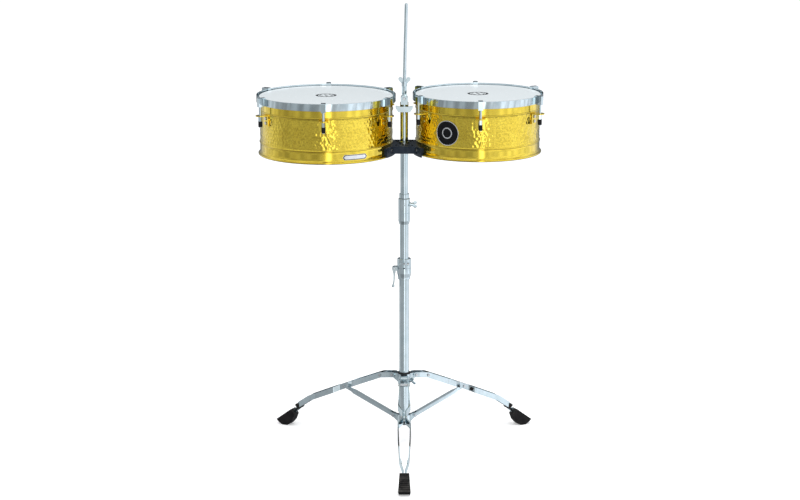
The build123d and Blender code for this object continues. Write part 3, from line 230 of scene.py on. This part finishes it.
brassLook = {
    "colorA": (0.76, 0.56, 0.045), "colorB": (0.84, 0.64, 0.060), "smudgeColor": (0.66, 0.42, 0.03),
    "smudgeTint": 0.35, "smudgeRough": 0.10, "roughness": 0.13, "patchScale": 16.0, "wipeScale": 120.0,
    "scratchScale": 220.0, "toneScale": 26.0, "grainScale": 420.0, "grainDepth": 0.02, "coat": 0.6,
}
chromeLook = {
    "colorA": (0.52, 0.62, 0.66), "colorB": (0.59, 0.68, 0.72), "smudgeColor": (0.44, 0.51, 0.55),
    "smudgeTint": 0.4, "smudgeRough": 0.12, "roughness": 0.06, "patchScale": 22.0, "wipeScale": 140.0,
    "scratchScale": 300.0, "toneScale": 40.0, "grainScale": 600.0, "grainDepth": 0.01,
}
zincLook = {
    "colorA": (0.50, 0.53, 0.56), "colorB": (0.62, 0.64, 0.66), "smudgeColor": (0.35, 0.36, 0.38),
    "smudgeTint": 0.6, "smudgeRough": 0.2, "roughness": 0.24, "patchScale": 60.0, "wipeScale": 300.0,
    "scratchScale": 500.0, "toneScale": 200.0, "grainScale": 1500.0, "grainDepth": 0.03,
}
fleshLook = {
    "colorA": (0.78, 0.76, 0.68), "colorB": (0.86, 0.84, 0.78), "smudgeColor": (0.62, 0.60, 0.54),
    "smudgeTint": 0.5, "smudgeRough": 0.15, "roughness": 0.30, "patchScale": 30.0, "wipeScale": 200.0,
    "scratchScale": 320.0, "toneScale": 60.0, "grainScale": 900.0, "grainDepth": 0.02,
}
plaqueLook = {
    "colorA": (0.72, 0.74, 0.76), "colorB": (0.80, 0.82, 0.84), "smudgeColor": (0.55, 0.57, 0.60),
    "smudgeTint": 0.4, "smudgeRough": 0.15, "roughness": 0.22, "patchScale": 60.0, "wipeScale": 400.0,
    "scratchScale": 700.0, "toneScale": 120.0, "grainScale": 2000.0, "grainDepth": 0.015,
}
brass = metalFinish("lacqueredBrass", brassLook)
chrome = metalFinish("chromePlate", chromeLook)
zinc = metalFinish("zincSteel", zincLook)
fleshMetal = metalFinish("fleshHoopAluminium", fleshLook)
plaqueMetal = metalFinish("plaqueSilver", plaqueLook)


def darkFinish(name, look):
    mat, tree, shader, coords = makeTree(name)
    dust = useGroup(tree, dustGroup, coords, Speck_Scale=look["dustScale"])
    tone = noiseNode(tree, coords, look["toneScale"], 3.0)
    base = mixColor(tree, rampNode(tree, tone, 0.3, 0.7), look["colorA"], look["colorB"])
    dustAmount = mathNode(tree, "MULTIPLY", dust.outputs["Mask"], look["dust"])
    dusted = mixColor(tree, dustAmount, base, look["dustColor"])
    tree.links.new(dusted, shader.inputs["Base Color"])
    grain = noiseNode(tree, coords, look["grainScale"], 3.0, 0.6)
    rough = rampNode(tree, grain, 0.3, 0.7, look["roughLow"], look["roughHigh"])
    rough = mathNode(tree, "ADD", rough, mathNode(tree, "MULTIPLY", dust.outputs["Mask"], 0.15), True)
    tree.links.new(rough, shader.inputs["Roughness"])
    grainNormal = bumpNode(tree, grain, look["grainDepth"] * mm, look["grainStrength"])
    tree.links.new(grainNormal, shader.inputs["Normal"])
    shader.inputs["Specular IOR Level"].default_value = 0.10
    return mat


castingLook = {
    "colorA": (0.010, 0.016, 0.026), "colorB": (0.018, 0.025, 0.037), "dustColor": (0.10, 0.11, 0.13),
    "dust": 0.25,
    "dustScale": 600.0, "toneScale": 70.0, "grainScale": 1400.0, "grainDepth": 0.12, "grainStrength": 0.5,
    "roughLow": 0.30, "roughHigh": 0.42,
}
nylonLook = {
    "colorA": (0.008, 0.008, 0.009), "colorB": (0.014, 0.014, 0.015), "dustColor": (0.08, 0.08, 0.08),
    "dust": 0.2,
    "dustScale": 900.0, "toneScale": 150.0, "grainScale": 2200.0, "grainDepth": 0.04, "grainStrength": 0.4,
    "roughLow": 0.26, "roughHigh": 0.36,
}
rubberLook = {
    "colorA": (0.006, 0.006, 0.007), "colorB": (0.014, 0.013, 0.013), "dustColor": (0.12, 0.115, 0.105),
    "dust": 0.35,
    "dustScale": 450.0, "toneScale": 60.0, "grainScale": 1100.0, "grainDepth": 0.10, "grainStrength": 0.6,
    "roughLow": 0.42, "roughHigh": 0.62,
}
enamelLook = {
    "colorA": (0.004, 0.004, 0.005), "colorB": (0.007, 0.007, 0.008), "dustColor": (0.06, 0.06, 0.06),
    "dust": 0.15,
    "dustScale": 900.0, "toneScale": 90.0, "grainScale": 900.0, "grainDepth": 0.01, "grainStrength": 0.2,
    "roughLow": 0.10, "roughHigh": 0.16,
}
casting = darkFinish("powderCoatedCasting", castingLook)
nylon = darkFinish("mouldedNylon", nylonLook)
rubber = darkFinish("footRubber", rubberLook)
enamel = darkFinish("badgeEnamel", enamelLook)

headLook = {
    "film": (0.65, 0.69, 0.705), "cloud": (0.60, 0.64, 0.655), "print": (0.012, 0.012, 0.014),
    "ringOuter": 30.0 * mm, "ringInner": 23.0 * mm, "ticksOuter": 21.0 * mm, "ticksInner": 15.0 * mm,
    "tickCount": 8,
}


def headFinish(name, centerX):
    mat, tree, shader, coords = makeTree(name)
    mapping = tree.nodes.new("ShaderNodeMapping")
    mapping.inputs["Location"].default_value = (-centerX, 0.0, 0.0)
    tree.links.new(coords, mapping.inputs["Vector"])
    parts = tree.nodes.new("ShaderNodeSeparateXYZ")
    tree.links.new(mapping.outputs["Vector"], parts.inputs["Vector"])
    x, y = parts.outputs["X"], parts.outputs["Y"]
    squares = mathNode(tree, "ADD", mathNode(tree, "MULTIPLY", x, x), mathNode(tree, "MULTIPLY", y, y))
    away = mathNode(tree, "SQRT", squares)
    soft = 0.25 * mm

    def band(inner, outer):
        above = rampNode(tree, away, inner - soft, inner + soft)
        below = rampNode(tree, away, outer - soft, outer + soft, 1.0, 0.0)
        return mathNode(tree, "MULTIPLY", above, below)

    angle = mathNode(tree, "ARCTAN2", y, x)
    wave = mathNode(tree, "SINE", mathNode(tree, "MULTIPLY", angle, float(headLook["tickCount"])))
    tickBand = band(headLook["ticksInner"], headLook["ticksOuter"])
    ticks = mathNode(tree, "MULTIPLY", rampNode(tree, wave, -0.05, 0.05), tickBand)
    marks = mathNode(tree, "ADD", band(headLook["ringInner"], headLook["ringOuter"]), ticks)
    marks = mathNode(tree, "ADD", marks, band(-1.0, 5.0 * mm), True)
    flecks = rampNode(tree, noiseNode(tree, coords, 1500.0), 0.22, 0.32)
    marks = mathNode(tree, "MULTIPLY", marks, flecks)
    clouds = rampNode(tree, noiseNode(tree, coords, 9.0, 4.0), 0.35, 0.7)
    stickMarks = rampNode(tree, noiseNode(tree, coords, 130.0, 4.0, 0.7), 0.6, 0.8)
    base = mixColor(tree, clouds, headLook["film"], headLook["cloud"])
    base = mixColor(tree, mathNode(tree, "MULTIPLY", stickMarks, 0.12), base, (0.55, 0.55, 0.6))
    tree.links.new(mixColor(tree, marks, base, headLook["print"]), shader.inputs["Base Color"])
    markRough = mathNode(tree, "MULTIPLY", stickMarks, 0.12)
    rough = mathNode(tree, "ADD", markRough, mathNode(tree, "MULTIPLY", clouds, 0.06))
    tree.links.new(mathNode(tree, "ADD", rough, 0.20, True), shader.inputs["Roughness"])
    printHeight = mathNode(tree, "MULTIPLY", marks, 0.5)
    texture = mathNode(tree, "ADD", noiseNode(tree, coords, 2400.0, 2.0), printHeight)
    tree.links.new(bumpNode(tree, texture, 0.012 * mm, 0.4), shader.inputs["Normal"])
    shader.inputs["Coat Weight"].default_value = 0.08
    shader.inputs["Coat Roughness"].default_value = 0.15
    shader.inputs["Specular IOR Level"].default_value = 0.25
    return mat


headFilm = {name: headFinish(name + "HeadFilm", drum["x"]) for name, drum in drumMiddle.items()}
print("finishes made")

finishOf = {
    "brass": brass, "chrome": chrome, "bright_steel": zinc, "flesh_hoop": fleshMetal,
    "black_casting": casting, "black_nylon": nylon, "foot_rubber": rubber, "badge_enamel": enamel,
    "plaque_metal": plaqueMetal,
}
slotOf = {row["node"]: row["material_slot"] for row in frame["record"]["subparts"]}
bodyOf = {node: body for body, names in frame["record"]["behaviour"]["bodies"].items() for node in names}


def finishFor(node):
    if slotOf[node] == "head_film":
        return headFilm[node.split("_")[0]]
    return finishOf[slotOf[node]]


# Pieces

def finishMesh(bm, name, materials, sharpAngle, body, replaced):
    for edge in bm.edges:
        flat = len(edge.link_faces) != 2 or edge.calc_face_angle(0.0) > math.radians(sharpAngle)
        edge.smooth = not flat
    for face in bm.faces:
        face.smooth = True
    mesh = bpy.data.meshes.new(name)
    bm.to_mesh(mesh)
    bm.free()
    for material in materials:
        mesh.materials.append(material)
    piece = bpy.data.objects.new(name, mesh)
    bpy.context.scene.collection.objects.link(piece)
    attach(piece, body)
    if replaced:
        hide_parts(*replaced)
    return piece


def weighNormals(piece):
    modifier = piece.modifiers.new("cleanShading", "WEIGHTED_NORMAL")
    modifier.keep_sharp = True
    modifier.weight = 100
    return piece


# Turned and pressed pieces whose CAD shape is right are carried over, merged so that they shade smoothly
smoothAngle = 28.0
ownMade = {"large_shell", "small_shell", "small_badge", "large_plaque"}
for nodeName, node in frame["nodes"].items():
    if nodeName in ownMade:
        continue
    bm = bmesh.new()
    bm.from_mesh(node.data)
    bmesh.ops.remove_doubles(bm, verts=bm.verts, dist=0.002 * mm)
    piece = finishMesh(bm, nodeName + "Finished", [finishFor(nodeName)], smoothAngle,
                       bodyOf[nodeName], [nodeName])
    weighNormals(piece)
print("carried-over pieces finished")

# Hammered shells: one closed section spun round, then dented between the beads
shellSizes = {
    "wall": 1.2 * mm, "bead": 2.4 * mm, "lowBead": 36.0 * mm, "highBead": 128.0 * mm, "rimWire": 3.0 * mm,
    "flare": 3.0 * mm, "flareStart": 9.0 * mm, "spinSteps": 600, "bandRow": 2.0 * mm,
    "dentSpacing": 10.5 * mm, "dentDepth": 1.15 * mm, "dentWander": 0.30, "bandMargin": 3.4 * mm,
}


def arcPoints(centerR, centerZ, radius, startDegrees, endDegrees, count):
    found = []
    for i in range(count + 1):
        a = math.radians(startDegrees + (endDegrees - startDegrees) * i / count)
        found.append((centerR + radius * math.cos(a), centerZ + radius * math.sin(a)))
    return found


def straight(start, end, step):
    count = max(1, round(math.dist(start, end) / step))
    run, climb = end[0] - start[0], end[1] - start[1]
    return [(start[0] + run * i / count, start[1] + climb * i / count) for i in range(1, count)]


def shellSection(drum):
    s = shellSizes
    r, z0, z1 = drum["radius"], drum["bottom"], drum["top"]
    inner = r - s["wall"]
    lowBead, highBead = z0 + s["lowBead"], z0 + s["highBead"]
    bulge = s["bead"]
    points = [(r - 0.3 * mm, z1), (r, z1 - 0.3 * mm)]
    beadOut = lambda level: arcPoints(r - 0.6 * mm, level, bulge, 72, -72, 8)
    points += straight(points[-1], (r, highBead + bulge), 6 * mm)
    points += beadOut(highBead)
    points += [(r, highBead - bulge - 0.4 * mm)]
    points += straight(points[-1], (r, lowBead + bulge + 0.4 * mm), s["bandRow"])
    points += [(r, lowBead + bulge + 0.4 * mm)]
    points += beadOut(lowBead)
    points += [(r, lowBead - bulge - 0.4 * mm)]
    points += straight(points[-1], (r, z0 + s["flareStart"]), 6 * mm)
    points += [(r, z0 + s["flareStart"])]
    wireR, wireZ = r + s["flare"] - 0.6 * mm, z0 + s["rimWire"]
    points += arcPoints(wireR, wireZ, s["rimWire"], 75, -200, 16)
    points += [(inner, z0 + s["flareStart"] + 0.5 * mm)]
    points += straight(points[-1], (inner, lowBead - bulge), 8 * mm)
    beadIn = lambda level: arcPoints(r - 0.6 * mm, level, bulge - s["wall"], -60, 60, 4)
    points += [(inner, lowBead - bulge)] + beadIn(lowBead) + [(inner, lowBead + bulge)]
    points += straight(points[-1], (inner, highBead - bulge), 3.0 * mm)
    points += [(inner, highBead - bulge)] + beadIn(highBead) + [(inner, highBead + bulge)]
    points += straight(points[-1], (inner, z1 - 0.3 * mm), 8 * mm)
    points += [(inner, z1 - 0.3 * mm), (inner + 0.3 * mm, z1)]
    return points


def dentShell(bm, drum, seed):
    s = shellSizes
    r = drum["radius"]
    low = drum["bottom"] + s["lowBead"] + s["bandMargin"]
    high = drum["bottom"] + s["highBead"] - s["bandMargin"]
    random.seed(seed)
    columns = round(fullTurn * r / s["dentSpacing"])
    rows = round((high - low) / (s["dentSpacing"] * 0.87))
    stepAngle, stepZ = fullTurn / columns, (high - low) / rows
    wander = s["dentWander"]
    centers = {}
    for row in range(-1, rows + 1):
        for column in range(columns):
            angle = (column + 0.5 * (row % 2) + random.uniform(-wander, wander)) * stepAngle
            level = low + (row + 0.5 + random.uniform(-wander, wander)) * stepZ
            centers[(row, column)] = (angle, level, random.uniform(0.75, 1.15), random.uniform(-0.2, 0.2))
    reach = s["dentSpacing"] * 0.78
    for vertex in bm.verts:
        if not low < vertex.co.z < high:
            continue
        away = Vector((vertex.co.x, vertex.co.y)).length
        if abs(away - r) > 0.05 * mm and abs(away - r + s["wall"]) > 0.05 * mm:
            continue
        angle = math.atan2(vertex.co.y, vertex.co.x) % fullTurn
        row = int((vertex.co.z - low) / stepZ)
        column = int(angle / stepAngle)
        deepest = 0.0
        for i in (row - 1, row, row + 1):
            for j in (column - 1, column, column + 1):
                found = centers.get((i, j % columns))
                if not found:
                    continue
                turn = (angle - found[0] + math.pi) % fullTurn - math.pi
                across = turn * r
                up = vertex.co.z - found[1]
                gap = math.hypot(across, up + found[3] * across) / (reach * found[2])
                deepest = max(deepest, 1 - gap * gap)
        edge = min(vertex.co.z - low, high - vertex.co.z) / (3 * mm)
        depth = s["dentDepth"] * deepest * min(1.0, max(0.0, edge))
        vertex.co.x -= depth * math.cos(angle)
        vertex.co.y -= depth * math.sin(angle)


for drumName, drum in drumMiddle.items():
    bm = bmesh.new()
    ring = [bm.verts.new((pr, 0.0, pz)) for pr, pz in shellSection(drum)]
    for i, vertex in enumerate(ring):
        bm.edges.new((vertex, ring[(i + 1) % len(ring)]))
    bmesh.ops.spin(bm, geom=bm.verts[:] + bm.edges[:], cent=(0, 0, 0), axis=(0, 0, 1), dvec=(0, 0, 0),
                   angle=fullTurn, steps=shellSizes["spinSteps"], use_merge=True, use_duplicate=False)
    bmesh.ops.remove_doubles(bm, verts=bm.verts, dist=0.005 * mm)
    bmesh.ops.recalc_face_normals(bm, faces=bm.faces)
    dentShell(bm, drum, 11 if drumName == "large" else 23)
    bmesh.ops.translate(bm, verts=bm.verts, vec=(drum["x"], 0, 0))
    print(drumName, "shell faces", len(bm.faces))
    finishMesh(bm, drumName + "HammeredShell", [brass], 50.0, "drum_set", [drumName + "_shell"])


# Round badge, curved with the small drum
def curveOnto(bm, drum, azimuthDegrees, level):
    middle = math.radians(azimuthDegrees)
    for vertex in bm.verts:
        across, up, out = vertex.co
        angle = middle + across / drum["radius"]
        away = drum["radius"] + out
        vertex.co = Vector((drum["x"] + away * math.cos(angle), away * math.sin(angle), level + up))


def flatRing(bm, inner, outer, low, high, steps=96):
    edge = 0.3 * mm
    profile = [(inner, low), (outer, low), (outer, high - edge), (outer - edge, high), (inner + edge, high),
               (inner, high - edge)]
    verts = [bm.verts.new((a, 0, b)) for a, b in profile]
    edges = [bm.edges.new((v, verts[(i + 1) % len(verts)])) for i, v in enumerate(verts)]
    bmesh.ops.spin(bm, geom=verts + edges, cent=(0, 0, 0), axis=(0, 0, 1), dvec=(0, 0, 0),
                   angle=fullTurn, steps=steps, use_merge=True)


badge = {"radius": 35.0 * mm, "rimInner": 33.0 * mm, "face": 1.1 * mm, "rim": 1.6 * mm, "azimuth": -121.0,
         "level": drumMiddle["small"]["bottom"] + 77.0 * mm,
         "ringOuter": 15.5 * mm, "ringInner": 12.5 * mm}


bm = bmesh.new()
made = bmesh.ops.create_circle(bm, cap_ends=False, segments=96, radius=badge["rimInner"] + 0.2 * mm)
inner = made["verts"]
outline = [e for e in bm.edges]
for share in (0.82, 0.64, 0.46, 0.28, 0.1):
    extruded = bmesh.ops.extrude_edge_only(bm, edges=outline)
    newVerts = [g for g in extruded["geom"] if isinstance(g, bmesh.types.BMVert)]
    outline = [g for g in extruded["geom"] if isinstance(g, bmesh.types.BMEdge)]
    current = newVerts[0].co.length
    bmesh.ops.scale(bm, verts=newVerts, vec=[(badge["rimInner"] * share) / current] * 3)
bmesh.ops.contextual_create(bm, geom=outline)
bmesh.ops.translate(bm, verts=bm.verts, vec=(0, 0, badge["face"]))
bmesh.ops.recalc_face_normals(bm, faces=bm.faces)
if sum(f.normal.z for f in bm.faces) < 0:
    bmesh.ops.reverse_faces(bm, faces=bm.faces)
for face in bm.faces:
    face.material_index = 0
flatRing(bm, badge["rimInner"], badge["radius"], 0.05 * mm, badge["rim"])
flatRing(bm, badge["ringInner"], badge["ringOuter"], badge["face"] - 0.2 * mm, badge["face"] + 0.35 * mm)
for face in bm.faces[96 * 5 + 1:]:
    face.material_index = 1
curveOnto(bm, drumMiddle["small"], badge["azimuth"], badge["level"])
bmesh.ops.recalc_face_normals(bm, faces=bm.faces[96 * 5 + 1:])
finishMesh(bm, "roundBadge", [enamel, plaqueMetal], 30.0, "drum_set", ["small_badge"])
print("badge made")

# Long plaque, curved with the large drum: a raised lip round a sunk dark line and a plain field
plaque = {"half": 37.5 * mm, "rise": 7.5 * mm, "point": 5.0 * mm, "azimuth": -63.0,
          "level": drumMiddle["large"]["bottom"] + 18.0 * mm, "columns": 40,
          "steps": [(0.0, 0.05), (0.0, 1.0), (0.25, 1.25), (0.7, 1.25), (0.9, 0.95), (2.2, 0.95), (2.4, 1.2)]}
bm = bmesh.new()
loops = []
for inset, rise in plaque["steps"]:
    half, tall = plaque["half"] - 1.4 * inset * mm, plaque["rise"] - inset * mm
    xs = [half * (2 * i / plaque["columns"] - 1) for i in range(plaque["columns"] + 1)]
    heights = [tall * min(1.0, (half - abs(x)) / plaque["point"]) for x in xs]
    upper = [bm.verts.new((x, h, rise * mm)) for x, h in zip(xs, heights)]
    lower = [bm.verts.new((x, -h, rise * mm)) for x, h in zip(xs[1:-1], heights[1:-1])]
    loops.append(upper + lower[::-1])
for stage, (outer, inner) in enumerate(zip(loops, loops[1:])):
    for i, vertex in enumerate(outer):
        following = (i + 1) % len(outer)
        face = bm.faces.new((vertex, outer[following], inner[following], inner[i]))
        face.material_index = 1 if stage in (3, 4, 5) else 0
last = loops[-1]
count = plaque["columns"]
for i in range(count):
    below = [last[-i] if i else last[0], last[-(i + 1)]]
    corners = [last[i], last[i + 1]] + ([below[1]] if i < count - 1 else []) + ([below[0]] if i else [])
    bm.faces.new(corners)
bmesh.ops.recalc_face_normals(bm, faces=bm.faces)
curveOnto(bm, drumMiddle["large"], plaque["azimuth"], plaque["level"])
finishMesh(bm, "longPlaque", [plaqueMetal, enamel], 30.0, "drum_set", ["large_plaque"])

# Painted reflection: a thin black sheet on the outer face of the right leg's strap, where it bends out,
# standing in for the dark surroundings that the bent face reflects
paintedReflection = {"azimuth": 30.0, "out": 227.1, "side": 12.1, "height": 142.5, "half": 5.2, "thick": 0.3,
         "bend": 36.87, "slope": -24.5}
turnOut = math.radians(paintedReflection["azimuth"])
outward = Vector((math.cos(turnOut), math.sin(turnOut), 0))
sideways = Vector((math.sin(turnOut), -math.cos(turnOut), 0))
bend = math.radians(paintedReflection["bend"])
slope = math.radians(paintedReflection["slope"])
along = outward * math.cos(bend) + sideways * math.sin(bend)
along = (along * math.cos(slope) + Vector((0, 0, math.sin(slope)))).normalized()
normal = (sideways * math.cos(bend) - outward * math.sin(bend)).normalized()
upright = normal.cross(along)
place = (outward * paintedReflection["out"] + sideways * paintedReflection["side"] + Vector((0, 0, paintedReflection["height"]))) * mm
bm = bmesh.new()
bmesh.ops.create_cube(bm, size=1.0)
bmesh.ops.scale(bm, verts=bm.verts, vec=(2 * paintedReflection["half"] * mm, 2 * paintedReflection["half"] * mm, paintedReflection["thick"] * mm))
bmesh.ops.bevel(bm, geom=bm.edges[:], offset=0.08 * mm, segments=2, affect="EDGES")
frameMatrix = Matrix((along, upright, normal)).transposed().to_4x4()
frameMatrix.translation = place
bmesh.ops.transform(bm, matrix=frameMatrix, verts=bm.verts)
# The black sheet is a painted reflection of dark surroundings, not a part of the stand
finishMesh(bm, "strapPaintedReflection", [nylon], 40.0, "right_leg", [])
print("plaque and label made")

# Studio: white floor, soft surround, camera
studio = {"floorSize": 30.0, "floorTone": (0.90, 0.90, 0.90), "floorGlow": 0.30,
          "cameraPlace": (-0.012, -5.5, 1.866), "cameraPitch": 76.97,
          "lens": 87.8}

floorMesh = bpy.data.meshes.new("studioFloor")
bm = bmesh.new()
bmesh.ops.create_grid(bm, x_segments=2, y_segments=2, size=studio["floorSize"])
bm.to_mesh(floorMesh)
bm.free()
floor = bpy.data.objects.new("studioFloor", floorMesh)
bpy.context.scene.collection.objects.link(floor)
mat, tree, shader, coords = makeTree("paleFloor")
tone = rampNode(tree, noiseNode(tree, coords, 3.0, 3.0), 0.3, 0.7)
tree.links.new(mixColor(tree, tone, studio["floorTone"], (0.92, 0.92, 0.92)), shader.inputs["Base Color"])
shader.inputs["Roughness"].default_value = 0.7
shader.inputs["Specular IOR Level"].default_value = 0.1
shader.inputs["Emission Color"].default_value = (1.0, 1.0, 1.0, 1.0)
shader.inputs["Emission Strength"].default_value = studio["floorGlow"]
floorMesh.materials.append(mat)
floor.visible_glossy = False

world = bpy.data.worlds.new("softStudio")
world.use_nodes = True
bpy.context.scene.world = world
tree = world.node_tree
tree.nodes.clear()
worldOut = tree.nodes.new("ShaderNodeOutputWorld")
direction = tree.nodes.new("ShaderNodeTexCoord").outputs["Generated"]
parts = tree.nodes.new("ShaderNodeSeparateXYZ")
tree.links.new(direction, parts.inputs["Vector"])
azimuth = mathNode(tree, "ARCTAN2", parts.outputs["X"], mathNode(tree, "MULTIPLY", parts.outputs["Y"], -1.0))
turn = mathNode(tree, "ADD", mathNode(tree, "DIVIDE", azimuth, fullTurn), 0.5)
ramp = tree.nodes.new("ShaderNodeValToRGB")
tree.links.new(turn, ramp.inputs["Fac"])
studioLight = [
    (0.00, (0.10, 0.11, 0.12)), (0.07, (0.30, 0.32, 0.34)), (0.14, (0.90, 0.92, 0.94)),
    (0.22, (0.72, 0.73, 0.74)), (0.30, (0.48, 0.49, 0.50)), (0.44, (0.46, 0.47, 0.48)),
    (0.497, (0.50, 0.51, 0.51)), (0.508, (2.4, 2.4, 2.4)), (0.520, (2.4, 2.4, 2.4)),
    (0.534, (0.80, 0.80, 0.80)), (0.59, (1.12, 1.14, 1.18)), (0.72, (1.20, 1.23, 1.28)),
    (0.85, (1.02, 1.04, 1.08)), (0.92, (0.30, 0.32, 0.34)), (1.00, (0.08, 0.09, 0.10)),
]
ramp.color_ramp.interpolation = "LINEAR"
while len(ramp.color_ramp.elements) > 1:
    ramp.color_ramp.elements.remove(ramp.color_ramp.elements[0])
ramp.color_ramp.elements[0].position = studioLight[0][0]
ramp.color_ramp.elements[0].color = (*studioLight[0][1], 1.0)
for position, color in studioLight[1:]:
    element = ramp.color_ramp.elements.new(position)
    element.color = (*color, 1.0)
overhead = rampNode(tree, parts.outputs["Z"], 0.35, 0.85)
sky = mixColor(tree, overhead, ramp.outputs["Color"], (0.98, 0.99, 1.0))
# Darker towards the ground, and mottled a little, so that dents and edges read
grounding = rampNode(tree, parts.outputs["Z"], -0.75, -0.30, 0.45, 1.0)
mottle = rampNode(tree, noiseNode(tree, direction, 7.0, 2.0), 0.35, 0.65, 0.72, 1.22)
shade = tree.nodes.new("ShaderNodeVectorMath")
shade.operation = "SCALE"
tree.links.new(sky, shade.inputs["Vector"])
tree.links.new(mathNode(tree, "MULTIPLY", grounding, mottle), shade.inputs["Scale"])
lit = tree.nodes.new("ShaderNodeBackground")
tree.links.new(shade.outputs["Vector"], lit.inputs["Color"])
lit.inputs["Strength"].default_value = 1.0
plain = tree.nodes.new("ShaderNodeBackground")
plain.inputs["Color"].default_value = (1.0, 1.0, 1.0, 1.0)
seen = tree.nodes.new("ShaderNodeLightPath").outputs["Is Camera Ray"]
mixed = tree.nodes.new("ShaderNodeMixShader")
tree.links.new(seen, mixed.inputs["Fac"])
tree.links.new(lit.outputs["Background"], mixed.inputs[1])
tree.links.new(plain.outputs["Background"], mixed.inputs[2])
tree.links.new(mixed.outputs["Shader"], worldOut.inputs["Surface"])


def softLight(name, place, aim, size, watts, tint=(1, 1, 1)):
    data = bpy.data.lights.new(name, "AREA")
    data.shape = "RECTANGLE"
    data.size, data.size_y = size
    data.energy = watts
    data.color = tint
    lamp = bpy.data.objects.new(name, data)
    lamp.location = place
    lamp.rotation_euler = (Vector(aim) - Vector(place)).to_track_quat("-Z", "Y").to_euler()
    lamp.visible_glossy = False
    bpy.context.scene.collection.objects.link(lamp)
    return lamp


softLight("overheadSoftbox", (0.3, -0.8, 3.4), (0, 0, 0.9), (2.4, 1.8), 70.0)

cameraData = bpy.data.cameras.new("studioCamera")
camera = bpy.data.objects.new("studioCamera", cameraData)
camera.location = studio["cameraPlace"]
camera.rotation_euler = (math.radians(studio["cameraPitch"]), 0.0, 0.0)
cameraData.lens = studio["lens"]
bpy.context.scene.collection.objects.link(camera)
bpy.context.scene.camera = camera
bpy.context.scene.view_settings.view_transform = "Standard"
print("studio set")
